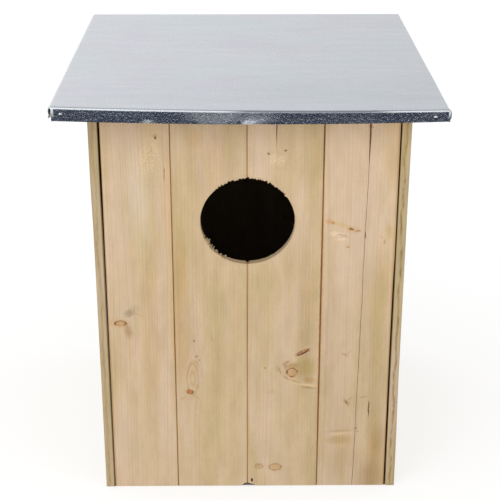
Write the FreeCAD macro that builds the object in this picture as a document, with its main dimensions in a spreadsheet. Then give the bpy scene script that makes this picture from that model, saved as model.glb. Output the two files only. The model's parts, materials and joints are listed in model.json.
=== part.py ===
import FreeCAD, Part
import math
import os
import re

import Sketcher
from FreeCAD import Placement, Rotation, Vector

# A nest box of tongue-and-groove boards under a sloping roof of folded sheet, in millimetres.
# The origin is on the ground under the middle of the roof. X runs to the right, the front
# faces -Y and Z is up. The front panel is a flap that swings out about two pivot screws.

DIMENSIONS = {
    # box
    "box_width": 400,
    "box_depth": 440,
    "front_face": -200,
    "front_height": 538,
    "roof_slope": 4,
    # boards and battens
    "board_thick": 12,
    "board_cover": 96,
    "tongue_reach": 5,
    "tongue_thick": 4,
    "groove_play": 0.3,
    "seam_bevel": 0.8,
    "batten_thick": 20,
    "batten_width": 30,
    "side_batten_setback": 76,
    "bearer_setback": 36,
    # flap
    "flap_side_gap": 2.4,
    "flap_top_gap": 8,
    "flap_lift": 1.5,
    "first_front_board": 86.4,
    "flap_batten_lift": 14,
    "hole_offset": -2.6,
    "hole_height": 390.9,
    "hole_half_width": 60.3,
    "hole_half_height": 57.4,
    # pivot screws
    "pivot_setback": 22,
    "pivot_height": 485,
    "screw_length": 50,
    "screw_radius": 2.5,
    "screw_head_radius": 5,
    "screw_play": 0.06,
    "screw_sink": 0.15,
    "countersink_play": 0.3,
    # floor and fixing holes
    "floor_play": 0.5,
    "drain_radius": 5,
    "drain_offset": 96,
    "fixing_radius": 4,
    "fixing_offset": 140,
    "fixing_top": 550,
    # roof
    "roof_width": 480,
    "roof_length": 480,
    "sheet_thick": 0.7,
    "lip_depth": 15.6,
    "lip_nail_drop": 9,
    "left_nail_inset": 14,
    "right_nail_inset": 18,
    "side_lip_nail_inset": 60,
    # nails
    "nail_radius": 1.1,
    "nail_head_radius": 2.4,
    "nail_head_thick": 1,
    "nail_stagger": 8,
    "panel_nail": 29,
    "frame_nail": 40,
    "lip_nail": 20,
}

# Places and lengths that several pieces share, as expressions in the sheet's names.
INNER_X = "(box_width / 2 - board_thick)"
BACK_FACE = "(front_face + box_depth)"
BACK_INNER = "(front_face + box_depth - board_thick)"
FLAP_X = "(box_width / 2 - board_thick - flap_side_gap)"
FLAP_HEIGHT = "(front_height - flap_top_gap - flap_lift)"
FLOOR_FRONT = "(front_face + board_thick + floor_play)"
ROOF_FRONT_Y = f"({BACK_FACE} - roof_length * cos(roof_slope))"
ROOF_FRONT_Z = f"(front_height - (front_face - {ROOF_FRONT_Y}) * tan(roof_slope))"
FIXING_HEIGHTS = ("(board_thick + batten_width / 2)", "fixing_top")

FRONT_BOARDS = 4
SIDE_BOARDS = 5
BACK_BOARDS = 4
FLOOR_BOARDS = 5
DECK_BOARDS = 5
CORNER_NAILS = 4
CORNER_NAIL_SHARE = 0.3
MIN_NAIL_SPACE = 10
PAST = 2

X_AXIS = Vector(1, 0, 0)
Y_AXIS = Vector(0, 1, 0)
Z_AXIS = Vector(0, 0, 1)
UPRIGHT = Rotation()
LEFT_WALL = Rotation(Z_AXIS, -90)
RIGHT_WALL = Rotation(Z_AXIS, 90)
BACK_WALL = Rotation(Z_AXIS, 180)
SLOPED = Rotation(X_AXIS, DIMENSIONS["roof_slope"])

doc = FreeCAD.newDocument("nest_box")
sheet = doc.addObject("Spreadsheet::Sheet", "Dimensions")
WORDS = re.compile(r"\b(" + "|".join(DIMENSIONS) + r")\b")
sub_parts = []


def fill_sheet():
    for row, (alias, number) in enumerate(DIMENSIONS.items(), start=1):
        sheet.set(f"A{row}", alias)
        sheet.set(f"B{row}", str(number))
        sheet.setAlias(f"B{row}", alias)
    doc.recompute()


def bind(thing, name, text):
    """Bind a property to an expression in the sheet's names."""
    thing.setExpression(name, WORDS.sub(r"Dimensions.\1", str(text)))


def height_at(depth):
    """Height of the roof deck's underside, a depth behind the front face, as an expression."""
    return f"(front_height + ({depth}) * tan(roof_slope))"


def place(part, x, y, z, rotation=UPRIGHT):
    part.Placement = Placement(Vector(), rotation)
    for letter, text in zip("xyz", (x, y, z)):
        bind(part, f".Placement.Base.{letter}", text)


# Sketches and features

def new_body(label):
    body = doc.addObject("PartDesign::Body", label)
    body.Label = label
    sub_parts.append(body)
    return body


def new_sketch(body, plane_role):
    plane = next(item for item in body.Origin.OriginFeatures if item.Role == plane_role)
    sketch = body.newObject("Sketcher::SketchObject", f"{body.Name}_sketch")
    sketch.AttachmentSupport = [(plane, "")]
    sketch.MapMode = "FlatFace"
    return sketch


def pin_point(sketch, geometry, position, across, up):
    """Hold a point of the sketch at bound distances from its origin."""
    for kind, text in (("DistanceX", across), ("DistanceY", up)):
        index = sketch.addConstraint(Sketcher.Constraint(kind, -1, 1, geometry, position, 1.0))
        bind(sketch, f"Constraints[{index}]", text)


def outline(body, plane_role, points):
    """A closed outline of straight lines through the points, which are pairs of expressions."""
    sketch = new_sketch(body, plane_role)
    count = len(points)
    turns = [2 * math.pi * index / count for index in range(count)]
    ring = [Vector(math.cos(turn), math.sin(turn), 0) for turn in turns]
    for index in range(count):
        sketch.addGeometry(Part.LineSegment(ring[index], ring[(index + 1) % count]))
    for index in range(count):
        sketch.addConstraint(Sketcher.Constraint("Coincident", index, 2, (index + 1) % count, 1))
    for index, (across, up) in enumerate(points):
        pin_point(sketch, index, 1, across, up)
    return sketch


def circle(body, plane_role, centre, radius):
    sketch = new_sketch(body, plane_role)
    sketch.addGeometry(Part.Circle(Vector(), Z_AXIS, 1))
    index = sketch.addConstraint(Sketcher.Constraint("Radius", 0, 1.0))
    bind(sketch, f"Constraints[{index}]", radius)
    pin_point(sketch, 0, 3, *centre)
    return sketch


def level_ellipse(body, plane_role, centre, half_width, half_height):
    """An ellipse whose longer axis is level. Its axes are the sketch's second and third lines."""
    sketch = new_sketch(body, plane_role)
    sketch.addGeometry(Part.Ellipse(Vector(), 2, 1))
    sketch.exposeInternalGeometry(0)
    sketch.addConstraint(Sketcher.Constraint("Horizontal", 1))
    for axis, drawn, half in ((1, 4.0, half_width), (2, 2.0, half_height)):
        index = sketch.addConstraint(Sketcher.Constraint("Distance", axis, drawn))
        bind(sketch, f"Constraints[{index}]", f"2 * {half}")
    pin_point(sketch, 0, 3, *centre)
    return sketch


def rectangle(low, high):
    return [low, (high[0], low[1]), high, (low[0], high[1])]


def pad(body, sketch, length):
    feature = body.newObject("PartDesign::Pad", f"{body.Name}_pad")
    feature.Profile = sketch
    bind(feature, "Length", length)
    doc.recompute()
    return feature


def cut_through(body, sketch):
    """Cut the sketch out of the body both ways, and make sure that it met the solid."""
    before = body.Shape.Volume
    feature = body.newObject("PartDesign::Pocket", f"{body.Name}_cut")
    feature.Profile = sketch
    feature.Type = "ThroughAll"
    feature.SideType = "Symmetric"
    finish_cut(body, before)


def cut_upwards(body, sketch, length):
    """Cut the sketch out of the body to a length above its plane."""
    before = body.Shape.Volume
    feature = body.newObject("PartDesign::Pocket", f"{body.Name}_recess")
    feature.Profile = sketch
    feature.Reversed = True
    bind(feature, "Length", length)
    finish_cut(body, before)


def finish_cut(body, before):
    doc.recompute()
    if body.Shape.Volume >= before:
        raise RuntimeError(f"a cut in {body.Label} removed nothing")


def cut_to_slope(body, plane_role, near, far, depth_of):
    """Cut the top of an upright piece to the roof's slope, between two places across it."""
    clear = "front_height + box_depth"
    corners = [(near, height_at(depth_of(near))), (far, height_at(depth_of(far)))]
    corners += [(far, clear), (near, clear)]
    cut_through(body, outline(body, plane_role, corners))


# Boards

def board_section(width, groove, tongue):
    """Section of a board: its face lies on the first axis, and bevels make the seams' V."""
    low = "(board_thick / 2 - tongue_thick / 2)"
    high = "(board_thick / 2 + tongue_thick / 2)"
    points = [("0", "board_thick")]
    if groove:
        bottom = "tongue_reach + groove_play"
        points += [("0", f"{high} + groove_play"), (bottom, f"{high} + groove_play")]
        points += [(bottom, f"{low} - groove_play"), ("0", f"{low} - groove_play")]
        points += [("0", "seam_bevel"), ("seam_bevel", "0")]
    else:
        points += [("0", "0")]
    if tongue:
        tip = f"{width} + tongue_reach"
        points += [(f"{width} - seam_bevel", "0"), (width, "seam_bevel")]
        points += [(width, low), (tip, low), (tip, high), (width, high)]
    else:
        points += [(width, "0")]
    return points + [(width, "board_thick")]


def board(label, plane_role, width, length, groove=True, tongue=True):
    body = new_body(label)
    pad(body, outline(body, plane_role, board_section(width, groove, tongue)), length)
    return body


def board_spans(count, total, first="board_cover"):
    """Start and width of each board in a row. The last one is ripped to end at the total."""
    spans = [("0", first)]
    for index in range(1, count):
        spans.append((f"({first} + {index - 1} * board_cover)", "board_cover"))
    start = spans[-1][0]
    spans[-1] = (start, f"({total} - {start})")
    return spans


def make_front_boards():
    """Four boards of the flap, with the entrance sawn by hand across the two in the middle."""
    spans = board_spans(FRONT_BOARDS, f"(2 * {FLAP_X})", "first_front_board")
    for index, (start, width) in enumerate(spans):
        tongue = index < FRONT_BOARDS - 1
        body = board(f"front_board_{index + 1}", "XY_Plane", width, FLAP_HEIGHT, index > 0, tongue)
        if index in (1, 2):
            centre = (f"hole_offset + {FLAP_X} - {start}", "hole_height - flap_lift")
            hole = level_ellipse(body, "XZ_Plane", centre, "hole_half_width", "hole_half_height")
            cut_through(body, hole)
        place(body, f"{start} - {FLAP_X}", "front_face", "flap_lift")


def side_board(label, start, width, depth_of, groove, tongue):
    """An upright board of a side wall, whose top follows the roof."""
    body = board(label, "XY_Plane", width, height_at("box_depth"), groove, tongue)
    far = f"({width} + tongue_reach + {PAST})"
    cut_to_slope(body, "XZ_Plane", f"(-{PAST})", far, lambda across: depth_of(f"{start} + {across}"))
    return body


def pivot_hole(body, across):
    """Countersunk running hole for a pivot screw, from the board's face."""
    before = body.Shape.Volume
    sketch = circle(body, "XZ_Plane", (across, "pivot_height"), "screw_radius")
    doc.recompute()
    hole = body.newObject("PartDesign::Hole", f"{body.Name}_pivot")
    hole.Profile = sketch
    hole.DepthType = "ThroughAll"
    hole.HoleCutType = "Countersink"
    hole.HoleCutCustomValues = True
    hole.HoleCutCountersinkAngle = 90
    bind(hole, "Diameter", "2 * (screw_radius + screw_play)")
    bind(hole, "HoleCutDiameter", "2 * (screw_head_radius + countersink_play)")
    finish_cut(body, before)


def make_right_wall():
    for index, (start, width) in enumerate(board_spans(SIDE_BOARDS, "box_depth")):
        tongue = index < SIDE_BOARDS - 1
        label = f"right_side_board_{index + 1}"
        body = side_board(label, start, width, lambda across: across, index > 0, tongue)
        if index == 0:
            pivot_hole(body, "pivot_setback")
        place(body, "box_width / 2", f"front_face + {start}", "0", RIGHT_WALL)


def make_left_wall():
    """As the right wall, but its boards run from the back, so the ripped one comes first."""
    ripped = f"(box_depth - {SIDE_BOARDS - 1} * board_cover)"
    for index, (start, width) in enumerate(board_spans(SIDE_BOARDS, "box_depth", ripped)):
        tongue = index < SIDE_BOARDS - 1
        label = f"left_side_board_{SIDE_BOARDS - index}"
        depth_of = lambda across: f"box_depth - ({across})"
        body = side_board(label, start, width, depth_of, index > 0, tongue)
        if not tongue:
            pivot_hole(body, f"box_depth - pivot_setback - {start}")
        place(body, "-box_width / 2", f"{BACK_FACE} - {start}", "0", LEFT_WALL)


def make_back_boards():
    spans = board_spans(BACK_BOARDS, f"(2 * {INNER_X})")
    for index, (start, width) in enumerate(spans):
        tongue = index < BACK_BOARDS - 1
        length = height_at("box_depth")
        body = board(f"back_board_{index + 1}", "XY_Plane", width, length, index > 0, tongue)
        far = f"(board_thick + {PAST})"
        cut_to_slope(body, "YZ_Plane", f"(-{PAST})", far, lambda depth: f"box_depth - {depth}")
        if index in (0, BACK_BOARDS - 1):
            side = 1 if index == 0 else -1
            across = f"{INNER_X} - {side} * fixing_offset - {start}"
            for height in FIXING_HEIGHTS:
                cut_through(body, circle(body, "XZ_Plane", (across, height), "fixing_radius"))
        place(body, f"{INNER_X} - {start}", BACK_FACE, "0", BACK_WALL)


def make_floor_boards():
    """Boards from wall to wall, with a pair of drain holes in the second and the fourth."""
    spans = board_spans(FLOOR_BOARDS, f"({BACK_INNER} - {FLOOR_FRONT})")
    for index, (start, width) in enumerate(spans):
        tongue = index < FLOOR_BOARDS - 1
        label = f"floor_board_{index + 1}"
        body = board(label, "YZ_Plane", width, f"2 * {INNER_X}", index > 0, tongue)
        if index in (1, 3):
            for side in (-1, 1):
                centre = (f"{INNER_X} + {side} * drain_offset", f"{width} / 2")
                cut_through(body, circle(body, "XY_Plane", centre, "drain_radius"))
        place(body, f"-{INNER_X}", f"{FLOOR_FRONT} + {start}", "0")


def make_deck_boards():
    spans = board_spans(DECK_BOARDS, "(roof_length - 2 * sheet_thick)")
    for index, (start, width) in enumerate(spans):
        tongue = index < DECK_BOARDS - 1
        length = "roof_width - 2 * sheet_thick"
        body = board(f"deck_board_{index + 1}", "YZ_Plane", width, length, index > 0, tongue)
        place_on_roof(body, "sheet_thick - roof_width / 2", f"(sheet_thick + {start})", "0")


def place_on_roof(part, x, along, above):
    """Place a piece by its distance up the slope and above the deck's underside."""
    y = f"{ROOF_FRONT_Y} + {along} * cos(roof_slope) - {above} * sin(roof_slope)"
    z = f"{ROOF_FRONT_Z} + {along} * sin(roof_slope) + {above} * cos(roof_slope)"
    place(part, x, y, z, SLOPED)


# Battens

def batten(label, length, width, height):
    box = doc.addObject("Part::Box", label)
    box.Label = label
    bind(box, "Length", length)
    bind(box, "Width", width)
    bind(box, "Height", height)
    sub_parts.append(box)
    return box


def make_flap_battens():
    for name, low in (("top", "pivot_height - batten_width / 2"), ("bottom", "flap_batten_lift")):
        bar = batten(f"flap_{name}_batten", f"2 * {FLAP_X}", "batten_thick", "batten_width")
        place(bar, f"-{FLAP_X}", "front_face + board_thick", low)


def make_floor_bearers():
    length = f"{BACK_INNER} - batten_thick - front_face - bearer_setback"
    for name, left in (("left", f"-{INNER_X}"), ("right", f"{INNER_X} - batten_thick")):
        bar = batten(f"{name}_floor_bearer", "batten_thick", length, "batten_width")
        place(bar, left, "front_face + bearer_setback", "board_thick")


def make_side_battens():
    """Sloping battens under the deck, which start behind the swing of the flap's top."""
    near = "side_batten_setback"
    far = "(box_depth - board_thick - batten_thick)"
    low = [(depth, f"{height_at(depth)} - batten_width / cos(roof_slope)") for depth in (near, far)]
    high = [(depth, height_at(depth)) for depth in (far, near)]
    for name, left in (("left", f"-{INNER_X}"), ("right", f"{INNER_X} - batten_thick")):
        body = new_body(f"{name}_top_batten")
        pad(body, outline(body, "YZ_Plane", low + high), "batten_thick")
        place(body, left, "front_face", "0")


def back_batten(label, low, rear_rise, hole_height):
    """A batten across the back wall, drilled with the boards for the fixing screws."""
    body = new_body(label)
    front = f"({low} + batten_width)"
    corners = [("0", low), ("batten_thick", low), ("batten_thick", f"{front} + {rear_rise}"), ("0", front)]
    pad(body, outline(body, "YZ_Plane", corners), f"2 * {INNER_X}")
    for side in (-1, 1):
        centre = (f"{INNER_X} + {side} * fixing_offset", hole_height)
        cut_through(body, circle(body, "XZ_Plane", centre, "fixing_radius"))
    place(body, f"-{INNER_X}", f"{BACK_INNER} - batten_thick", "0")


def make_back_battens():
    top_low = f"({height_at('box_depth - board_thick - batten_thick')} - batten_width)"
    back_batten("back_top_batten", top_low, "batten_thick * tan(roof_slope)", FIXING_HEIGHTS[1])
    back_batten("back_bottom_batten", "board_thick", "0", FIXING_HEIGHTS[0])


# Roof sheet

def make_roof_sheet():
    """A tray folded down on all sides. Its rear lip ends level with the deck's underside."""
    body = new_body("roof_sheet")
    half = "(roof_width / 2)"
    edge = f"({half} - sheet_thick)"
    behind = "(roof_length - sheet_thick)"
    pad(body, outline(body, "XY_Plane", rectangle((f"-{half}", "0"), (half, "roof_length"))), "lip_depth")
    inside = rectangle((f"-{edge}", "sheet_thick"), (edge, behind))
    cut_upwards(body, outline(body, "XY_Plane", inside), "lip_depth - sheet_thick")
    rear = rectangle(("-roof_width", f"{behind} - {PAST}"), ("roof_width", f"roof_length + {PAST}"))
    cut_upwards(body, outline(body, "XY_Plane", rear), "lip_depth - sheet_thick - board_thick")
    place_on_roof(body, "0", "0", "(board_thick + sheet_thick - lip_depth)")


# Screws and nails, as groups of loose solids at numbers read from the sheet

def group(label, shapes):
    feature = doc.addObject("Part::Feature", label)
    feature.Label = label
    feature.Shape = Part.makeCompound(shapes)
    sub_parts.append(feature)


def screw(head_centre, direction):
    """Countersunk wood screw with a cross recess, driven in a direction along X."""
    radius = size["screw_radius"]
    head_radius = size["screw_head_radius"]
    head_length = head_radius - radius
    tip_length = 3 * radius
    straight = size["screw_length"] - head_length - tip_length
    neck = head_centre + direction * head_length
    tip = neck + direction * straight
    head = Part.makeCone(head_radius, radius, head_length, head_centre, direction)
    shank = Part.makeCylinder(radius, straight, neck, direction)
    point = Part.makeCone(radius, 0.2 * radius, tip_length, tip, direction)
    recess_depth = 0.8 * head_length
    long = 1.1 * head_radius
    narrow = 0.25 * head_radius
    solid = head.fuse([shank, point])
    for wide, high in ((long, narrow), (narrow, long)):
        bar = Part.makeBox(2 * recess_depth, wide, high)
        bar.translate(head_centre - Vector(recess_depth, wide / 2, high / 2))
        solid = solid.cut(bar)
    return solid.removeSplitter()


def make_pivot_screws():
    y = size["front_face"] + size["pivot_setback"]
    x = size["box_width"] / 2 - size["screw_sink"]
    screws = [screw(Vector(-side * x, y, size["pivot_height"]), X_AXIS * side) for side in (1, -1)]
    group("pivot_screws", screws)


def nail(length, surface, direction, sunk=False):
    """A round nail driven from a point on a surface, with its head on the surface or flush."""
    thick = size["nail_head_thick"]
    radius = size["nail_radius"]
    tip_length = 3 * radius
    under_head = surface + direction * thick if sunk else surface
    top = under_head - direction * thick
    head = Part.makeCylinder(size["nail_head_radius"], thick, top, direction)
    shank = Part.makeCylinder(radius, length - tip_length, under_head, direction)
    end = under_head + direction * (length - tip_length)
    point = Part.makeCone(radius, 0.1 * radius, tip_length, end, direction)
    return head.fuse([shank, point]).removeSplitter()


def board_edges(count, total, first):
    """Where each board of a row starts and ends, counted from the row's start."""
    cover = size["board_cover"]
    seams = [0] + [first + index * cover for index in range(count - 1)] + [total]
    return list(zip(seams, seams[1:]))


def nail_spots(edges, low, high):
    """Two nails for each board where it meets a batten from low to high, or one if that is short."""
    spots = []
    for start, end in edges:
        start = max(start, low)
        end = min(end, high)
        quarter = (end - start) / 4
        spots += [start + quarter, end - quarter] if quarter > MIN_NAIL_SPACE else [start + 2 * quarter]
    return spots


def staggered(spots):
    """Pairs of a place along a batten and a nail's offset across it, left and right in turn."""
    return [(spot, size["nail_stagger"] * (-1) ** index) for index, spot in enumerate(spots)]


def make_flap_nails():
    flap_width = 2 * (inner_x - size["flap_side_gap"])
    edges = board_edges(FRONT_BOARDS, flap_width, size["first_front_board"])
    y = size["front_face"] + size["board_thick"] + size["batten_thick"]
    rows = (size["pivot_height"], size["flap_batten_lift"] + size["batten_width"] / 2)
    nails = []
    for spot, offset in staggered(nail_spots(edges, 0, flap_width)):
        for height in rows:
            surface = Vector(spot - flap_width / 2, y, height + offset)
            nails.append(nail(size["panel_nail"], surface, -Y_AXIS))
    group("flap_nails", nails)


def make_side_nails():
    """From each side batten's inner face into the boards."""
    edges = board_edges(SIDE_BOARDS, size["box_depth"], size["board_cover"])
    rear = size["box_depth"] - size["board_thick"] - size["batten_thick"]
    half = size["batten_width"] / 2
    nails = []
    for setback, sloping in ((size["side_batten_setback"], True), (size["bearer_setback"], False)):
        for spot, offset in staggered(nail_spots(edges, setback, rear)):
            low = wall_height(spot) - half if sloping else size["board_thick"] + half
            for side in (-1, 1):
                x = side * (inner_x - size["batten_thick"])
                surface = Vector(x, size["front_face"] + spot, low + offset)
                nails.append(nail(size["panel_nail"], surface, X_AXIS * side))
    group("side_nails", nails)


def make_back_nails():
    """From the back battens' inner faces, clear of the side battens' ends."""
    edges = board_edges(BACK_BOARDS, 2 * inner_x, size["board_cover"])
    y = back_face - size["board_thick"] - size["batten_thick"]
    half = size["batten_width"] / 2
    rows = (size["board_thick"] + half, wall_height(y - size["front_face"]) - half)
    nails = []
    low = size["batten_thick"]
    for spot, offset in staggered(nail_spots(edges, low, 2 * inner_x - low)):
        for height in rows:
            nails.append(nail(size["panel_nail"], Vector(inner_x - spot, y, height + offset), Y_AXIS))
    group("back_nails", nails)


def make_corner_nails():
    """Through the side walls into the edges of the back wall and the ends of its battens."""
    edge_y = back_face - size["board_thick"] / 2
    batten_y = back_face - size["board_thick"] - size["batten_thick"] * CORNER_NAIL_SHARE
    top = wall_height(batten_y - size["front_face"]) - size["batten_width"] / 2
    bottom = size["board_thick"] + size["batten_width"] / 2
    step = (top - bottom) / (CORNER_NAILS + 1)
    spots = [(edge_y, bottom + step * (index + 1)) for index in range(CORNER_NAILS)]
    spots += [(batten_y, bottom), (batten_y, top)]
    nails = []
    for y, height in spots:
        for side in (-1, 1):
            surface = Vector(side * size["box_width"] / 2, y, height)
            nails.append(nail(size["frame_nail"], surface, X_AXIS * -side))
    group("corner_nails", nails)


def make_floor_nails():
    edges = board_edges(FLOOR_BOARDS, back_face - size["board_thick"] - floor_front, size["board_cover"])
    low = size["front_face"] + size["bearer_setback"] - floor_front
    high = back_face - size["board_thick"] - size["batten_thick"] - floor_front
    x = inner_x - size["batten_thick"] / 2
    nails = []
    for spot in nail_spots(edges, low, high):
        for side in (-1, 1):
            surface = Vector(side * x, floor_front + spot, 0)
            nails.append(nail(size["panel_nail"], surface, Z_AXIS, sunk=True))
    group("floor_nails", nails)


def make_deck_nails():
    """Flush with the deck's top, down into the edges of the side walls."""
    span = size["roof_length"] - 2 * size["sheet_thick"]
    edges = [(start + size["sheet_thick"], end + size["sheet_thick"])
             for start, end in board_edges(DECK_BOARDS, span, size["board_cover"])]
    wall_start = (size["front_face"] - roof.Base.y) / math.cos(slope)
    x = (size["box_width"] - size["board_thick"]) / 2
    down = roof.Rotation.multVec(-Z_AXIS)
    nails = []
    for spot in nail_spots(edges, wall_start, size["roof_length"] - size["board_thick"]):
        for side in (-1, 1):
            surface = roof.multVec(Vector(side * x, spot, size["board_thick"]))
            nails.append(nail(size["frame_nail"], surface, down, sunk=True))
    group("deck_nails", nails)


def make_roof_nails():
    """Through the sheet's front and side lips into the edges of the deck."""
    half = size["roof_width"] / 2
    height = size["board_thick"] + size["sheet_thick"] - size["lip_nail_drop"]
    ahead = roof.Rotation.multVec(Y_AXIS)
    inset = size["side_lip_nail_inset"]
    places = [(Vector(size["left_nail_inset"] - half, 0, height), ahead)]
    places.append((Vector(half - size["right_nail_inset"], 0, height), ahead))
    for side in (-1, 1):
        for along in (inset, size["roof_length"] - inset):
            places.append((Vector(side * half, along, height), X_AXIS * -side))
    group("roof_nails", [nail(size["lip_nail"], roof.multVec(spot), way) for spot, way in places])


# The object

def wall_height(depth):
    """Height of the roof deck's underside, a depth behind the front face."""
    return size["front_height"] + depth * math.tan(slope)


def check_and_write():
    for item in doc.Objects:
        if "Invalid" in item.State or "Error" in item.State:
            raise RuntimeError(f"{item.Label} did not recompute: {item.State}")
    os.makedirs("parts", exist_ok=True)
    for part in sub_parts:
        if part.Shape.isNull() or not part.Shape.isValid():
            raise RuntimeError(f"{part.Label} has no valid shape")
        part.Shape.exportStep(f"parts/{part.Label}.step")
        print(part.Label, len(part.Shape.Solids), round(part.Shape.Volume))


fill_sheet()
size = {alias: float(sheet.get(alias)) for alias in DIMENSIONS}
slope = math.radians(size["roof_slope"])
inner_x = size["box_width"] / 2 - size["board_thick"]
back_face = size["front_face"] + size["box_depth"]
floor_front = size["front_face"] + size["board_thick"] + size["floor_play"]

make_front_boards()
make_left_wall()
make_right_wall()
make_back_boards()
make_floor_boards()
make_deck_boards()
make_flap_battens()
make_floor_bearers()
make_side_battens()
make_back_battens()
make_roof_sheet()
doc.recompute()

roof_front_y = back_face - size["roof_length"] * math.cos(slope)
roof = Placement(Vector(0, roof_front_y, wall_height(roof_front_y - size["front_face"])), SLOPED)
make_pivot_screws()
make_flap_nails()
make_side_nails()
make_back_nails()
make_corner_nails()
make_floor_nails()
make_deck_nails()
make_roof_nails()
doc.recompute()
check_and_write()
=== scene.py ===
import json
import math

import bmesh
import bpy
from mathutils import Matrix, Vector, noise


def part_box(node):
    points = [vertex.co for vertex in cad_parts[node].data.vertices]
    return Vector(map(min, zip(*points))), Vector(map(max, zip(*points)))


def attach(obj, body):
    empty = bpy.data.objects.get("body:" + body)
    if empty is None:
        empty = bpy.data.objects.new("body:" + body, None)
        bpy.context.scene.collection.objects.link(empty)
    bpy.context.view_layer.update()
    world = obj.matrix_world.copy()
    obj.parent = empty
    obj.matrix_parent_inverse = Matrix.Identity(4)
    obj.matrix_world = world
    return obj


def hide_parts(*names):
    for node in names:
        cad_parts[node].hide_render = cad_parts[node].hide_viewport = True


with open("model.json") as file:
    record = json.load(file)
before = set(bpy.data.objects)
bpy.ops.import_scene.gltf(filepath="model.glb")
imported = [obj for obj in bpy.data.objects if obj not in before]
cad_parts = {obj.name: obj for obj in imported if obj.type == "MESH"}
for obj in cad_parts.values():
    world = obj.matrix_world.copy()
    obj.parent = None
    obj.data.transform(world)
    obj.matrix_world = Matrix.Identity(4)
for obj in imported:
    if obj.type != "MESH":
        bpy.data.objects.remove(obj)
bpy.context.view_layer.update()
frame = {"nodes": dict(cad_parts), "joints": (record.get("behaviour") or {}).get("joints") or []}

MM = 0.001

# Sizes that repeat the CAD model's, in metres.
SLOPE = math.radians(4)
THICK = 12 * MM
TONGUE = 5 * MM
TONGUE_THICK = 4 * MM
GROOVE_PLAY = 0.3 * MM
ROOF_SIDE = 480 * MM
HALF = ROOF_SIDE / 2
SHEET = 0.7 * MM
LIP = 15.6 * MM
COVER = 96 * MM
WALL_X = 200 * MM
DRAIN_X = 96 * MM
DRAIN_RADIUS = 5 * MM
FIXING_X = 140 * MM
FIXING_HEIGHTS = (27 * MM, 550 * MM)
FIXING_RADIUS = 4 * MM
PIVOT_HEAD = 5.3 * MM
PIVOT_HOLE = 2.56 * MM
PIVOT_SINK = 2.74 * MM

# Sizes of the detailed pieces. The hole's are half its width and half its height.
ARRIS = 0.7 * MM
HOLE_CENTRE = Vector((-2.6 * MM, 0, 390.9 * MM))
HOLE_WIDE = 60.3 * MM
HOLE_HIGH = 57.4 * MM

# Mesh steps, in millimetres, along and across the side walls' boards and boards that show little.
SIDE_STEPS = (6, 3.2)
COARSE = (8, 4)

X = Vector((1, 0, 0))
Y = Vector((0, 1, 0))
Z = Vector((0, 0, 1))


# ---------------------------------------------------------------- numbers

def wobble(x, y, z, seed):
    """Smooth noise from -1 to 1."""
    return noise.noise(Vector((x, y, z)) + Vector((17.3, 5.1, 9.7)) * seed)


def clamp(x):
    return min(1.0, max(0.0, x))


def ease(low, high, x):
    """Smooth rise from 0 at low to 1 at high."""
    t = clamp((x - low) / (high - low))
    return t * t * (3 - 2 * t)


def bell(x, centre, width):
    return math.exp(-((x - centre) / width) ** 2)


def spread(start, end, count):
    """Even places from start to end, both included."""
    return [start + (end - start) * k / count for k in range(count + 1)]


# ---------------------------------------------------------------- node trees

# Numbers of a colour Mix node's sockets.
MIX_COLOURS = (6, 7)
MIX_RESULT = 2


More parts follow.
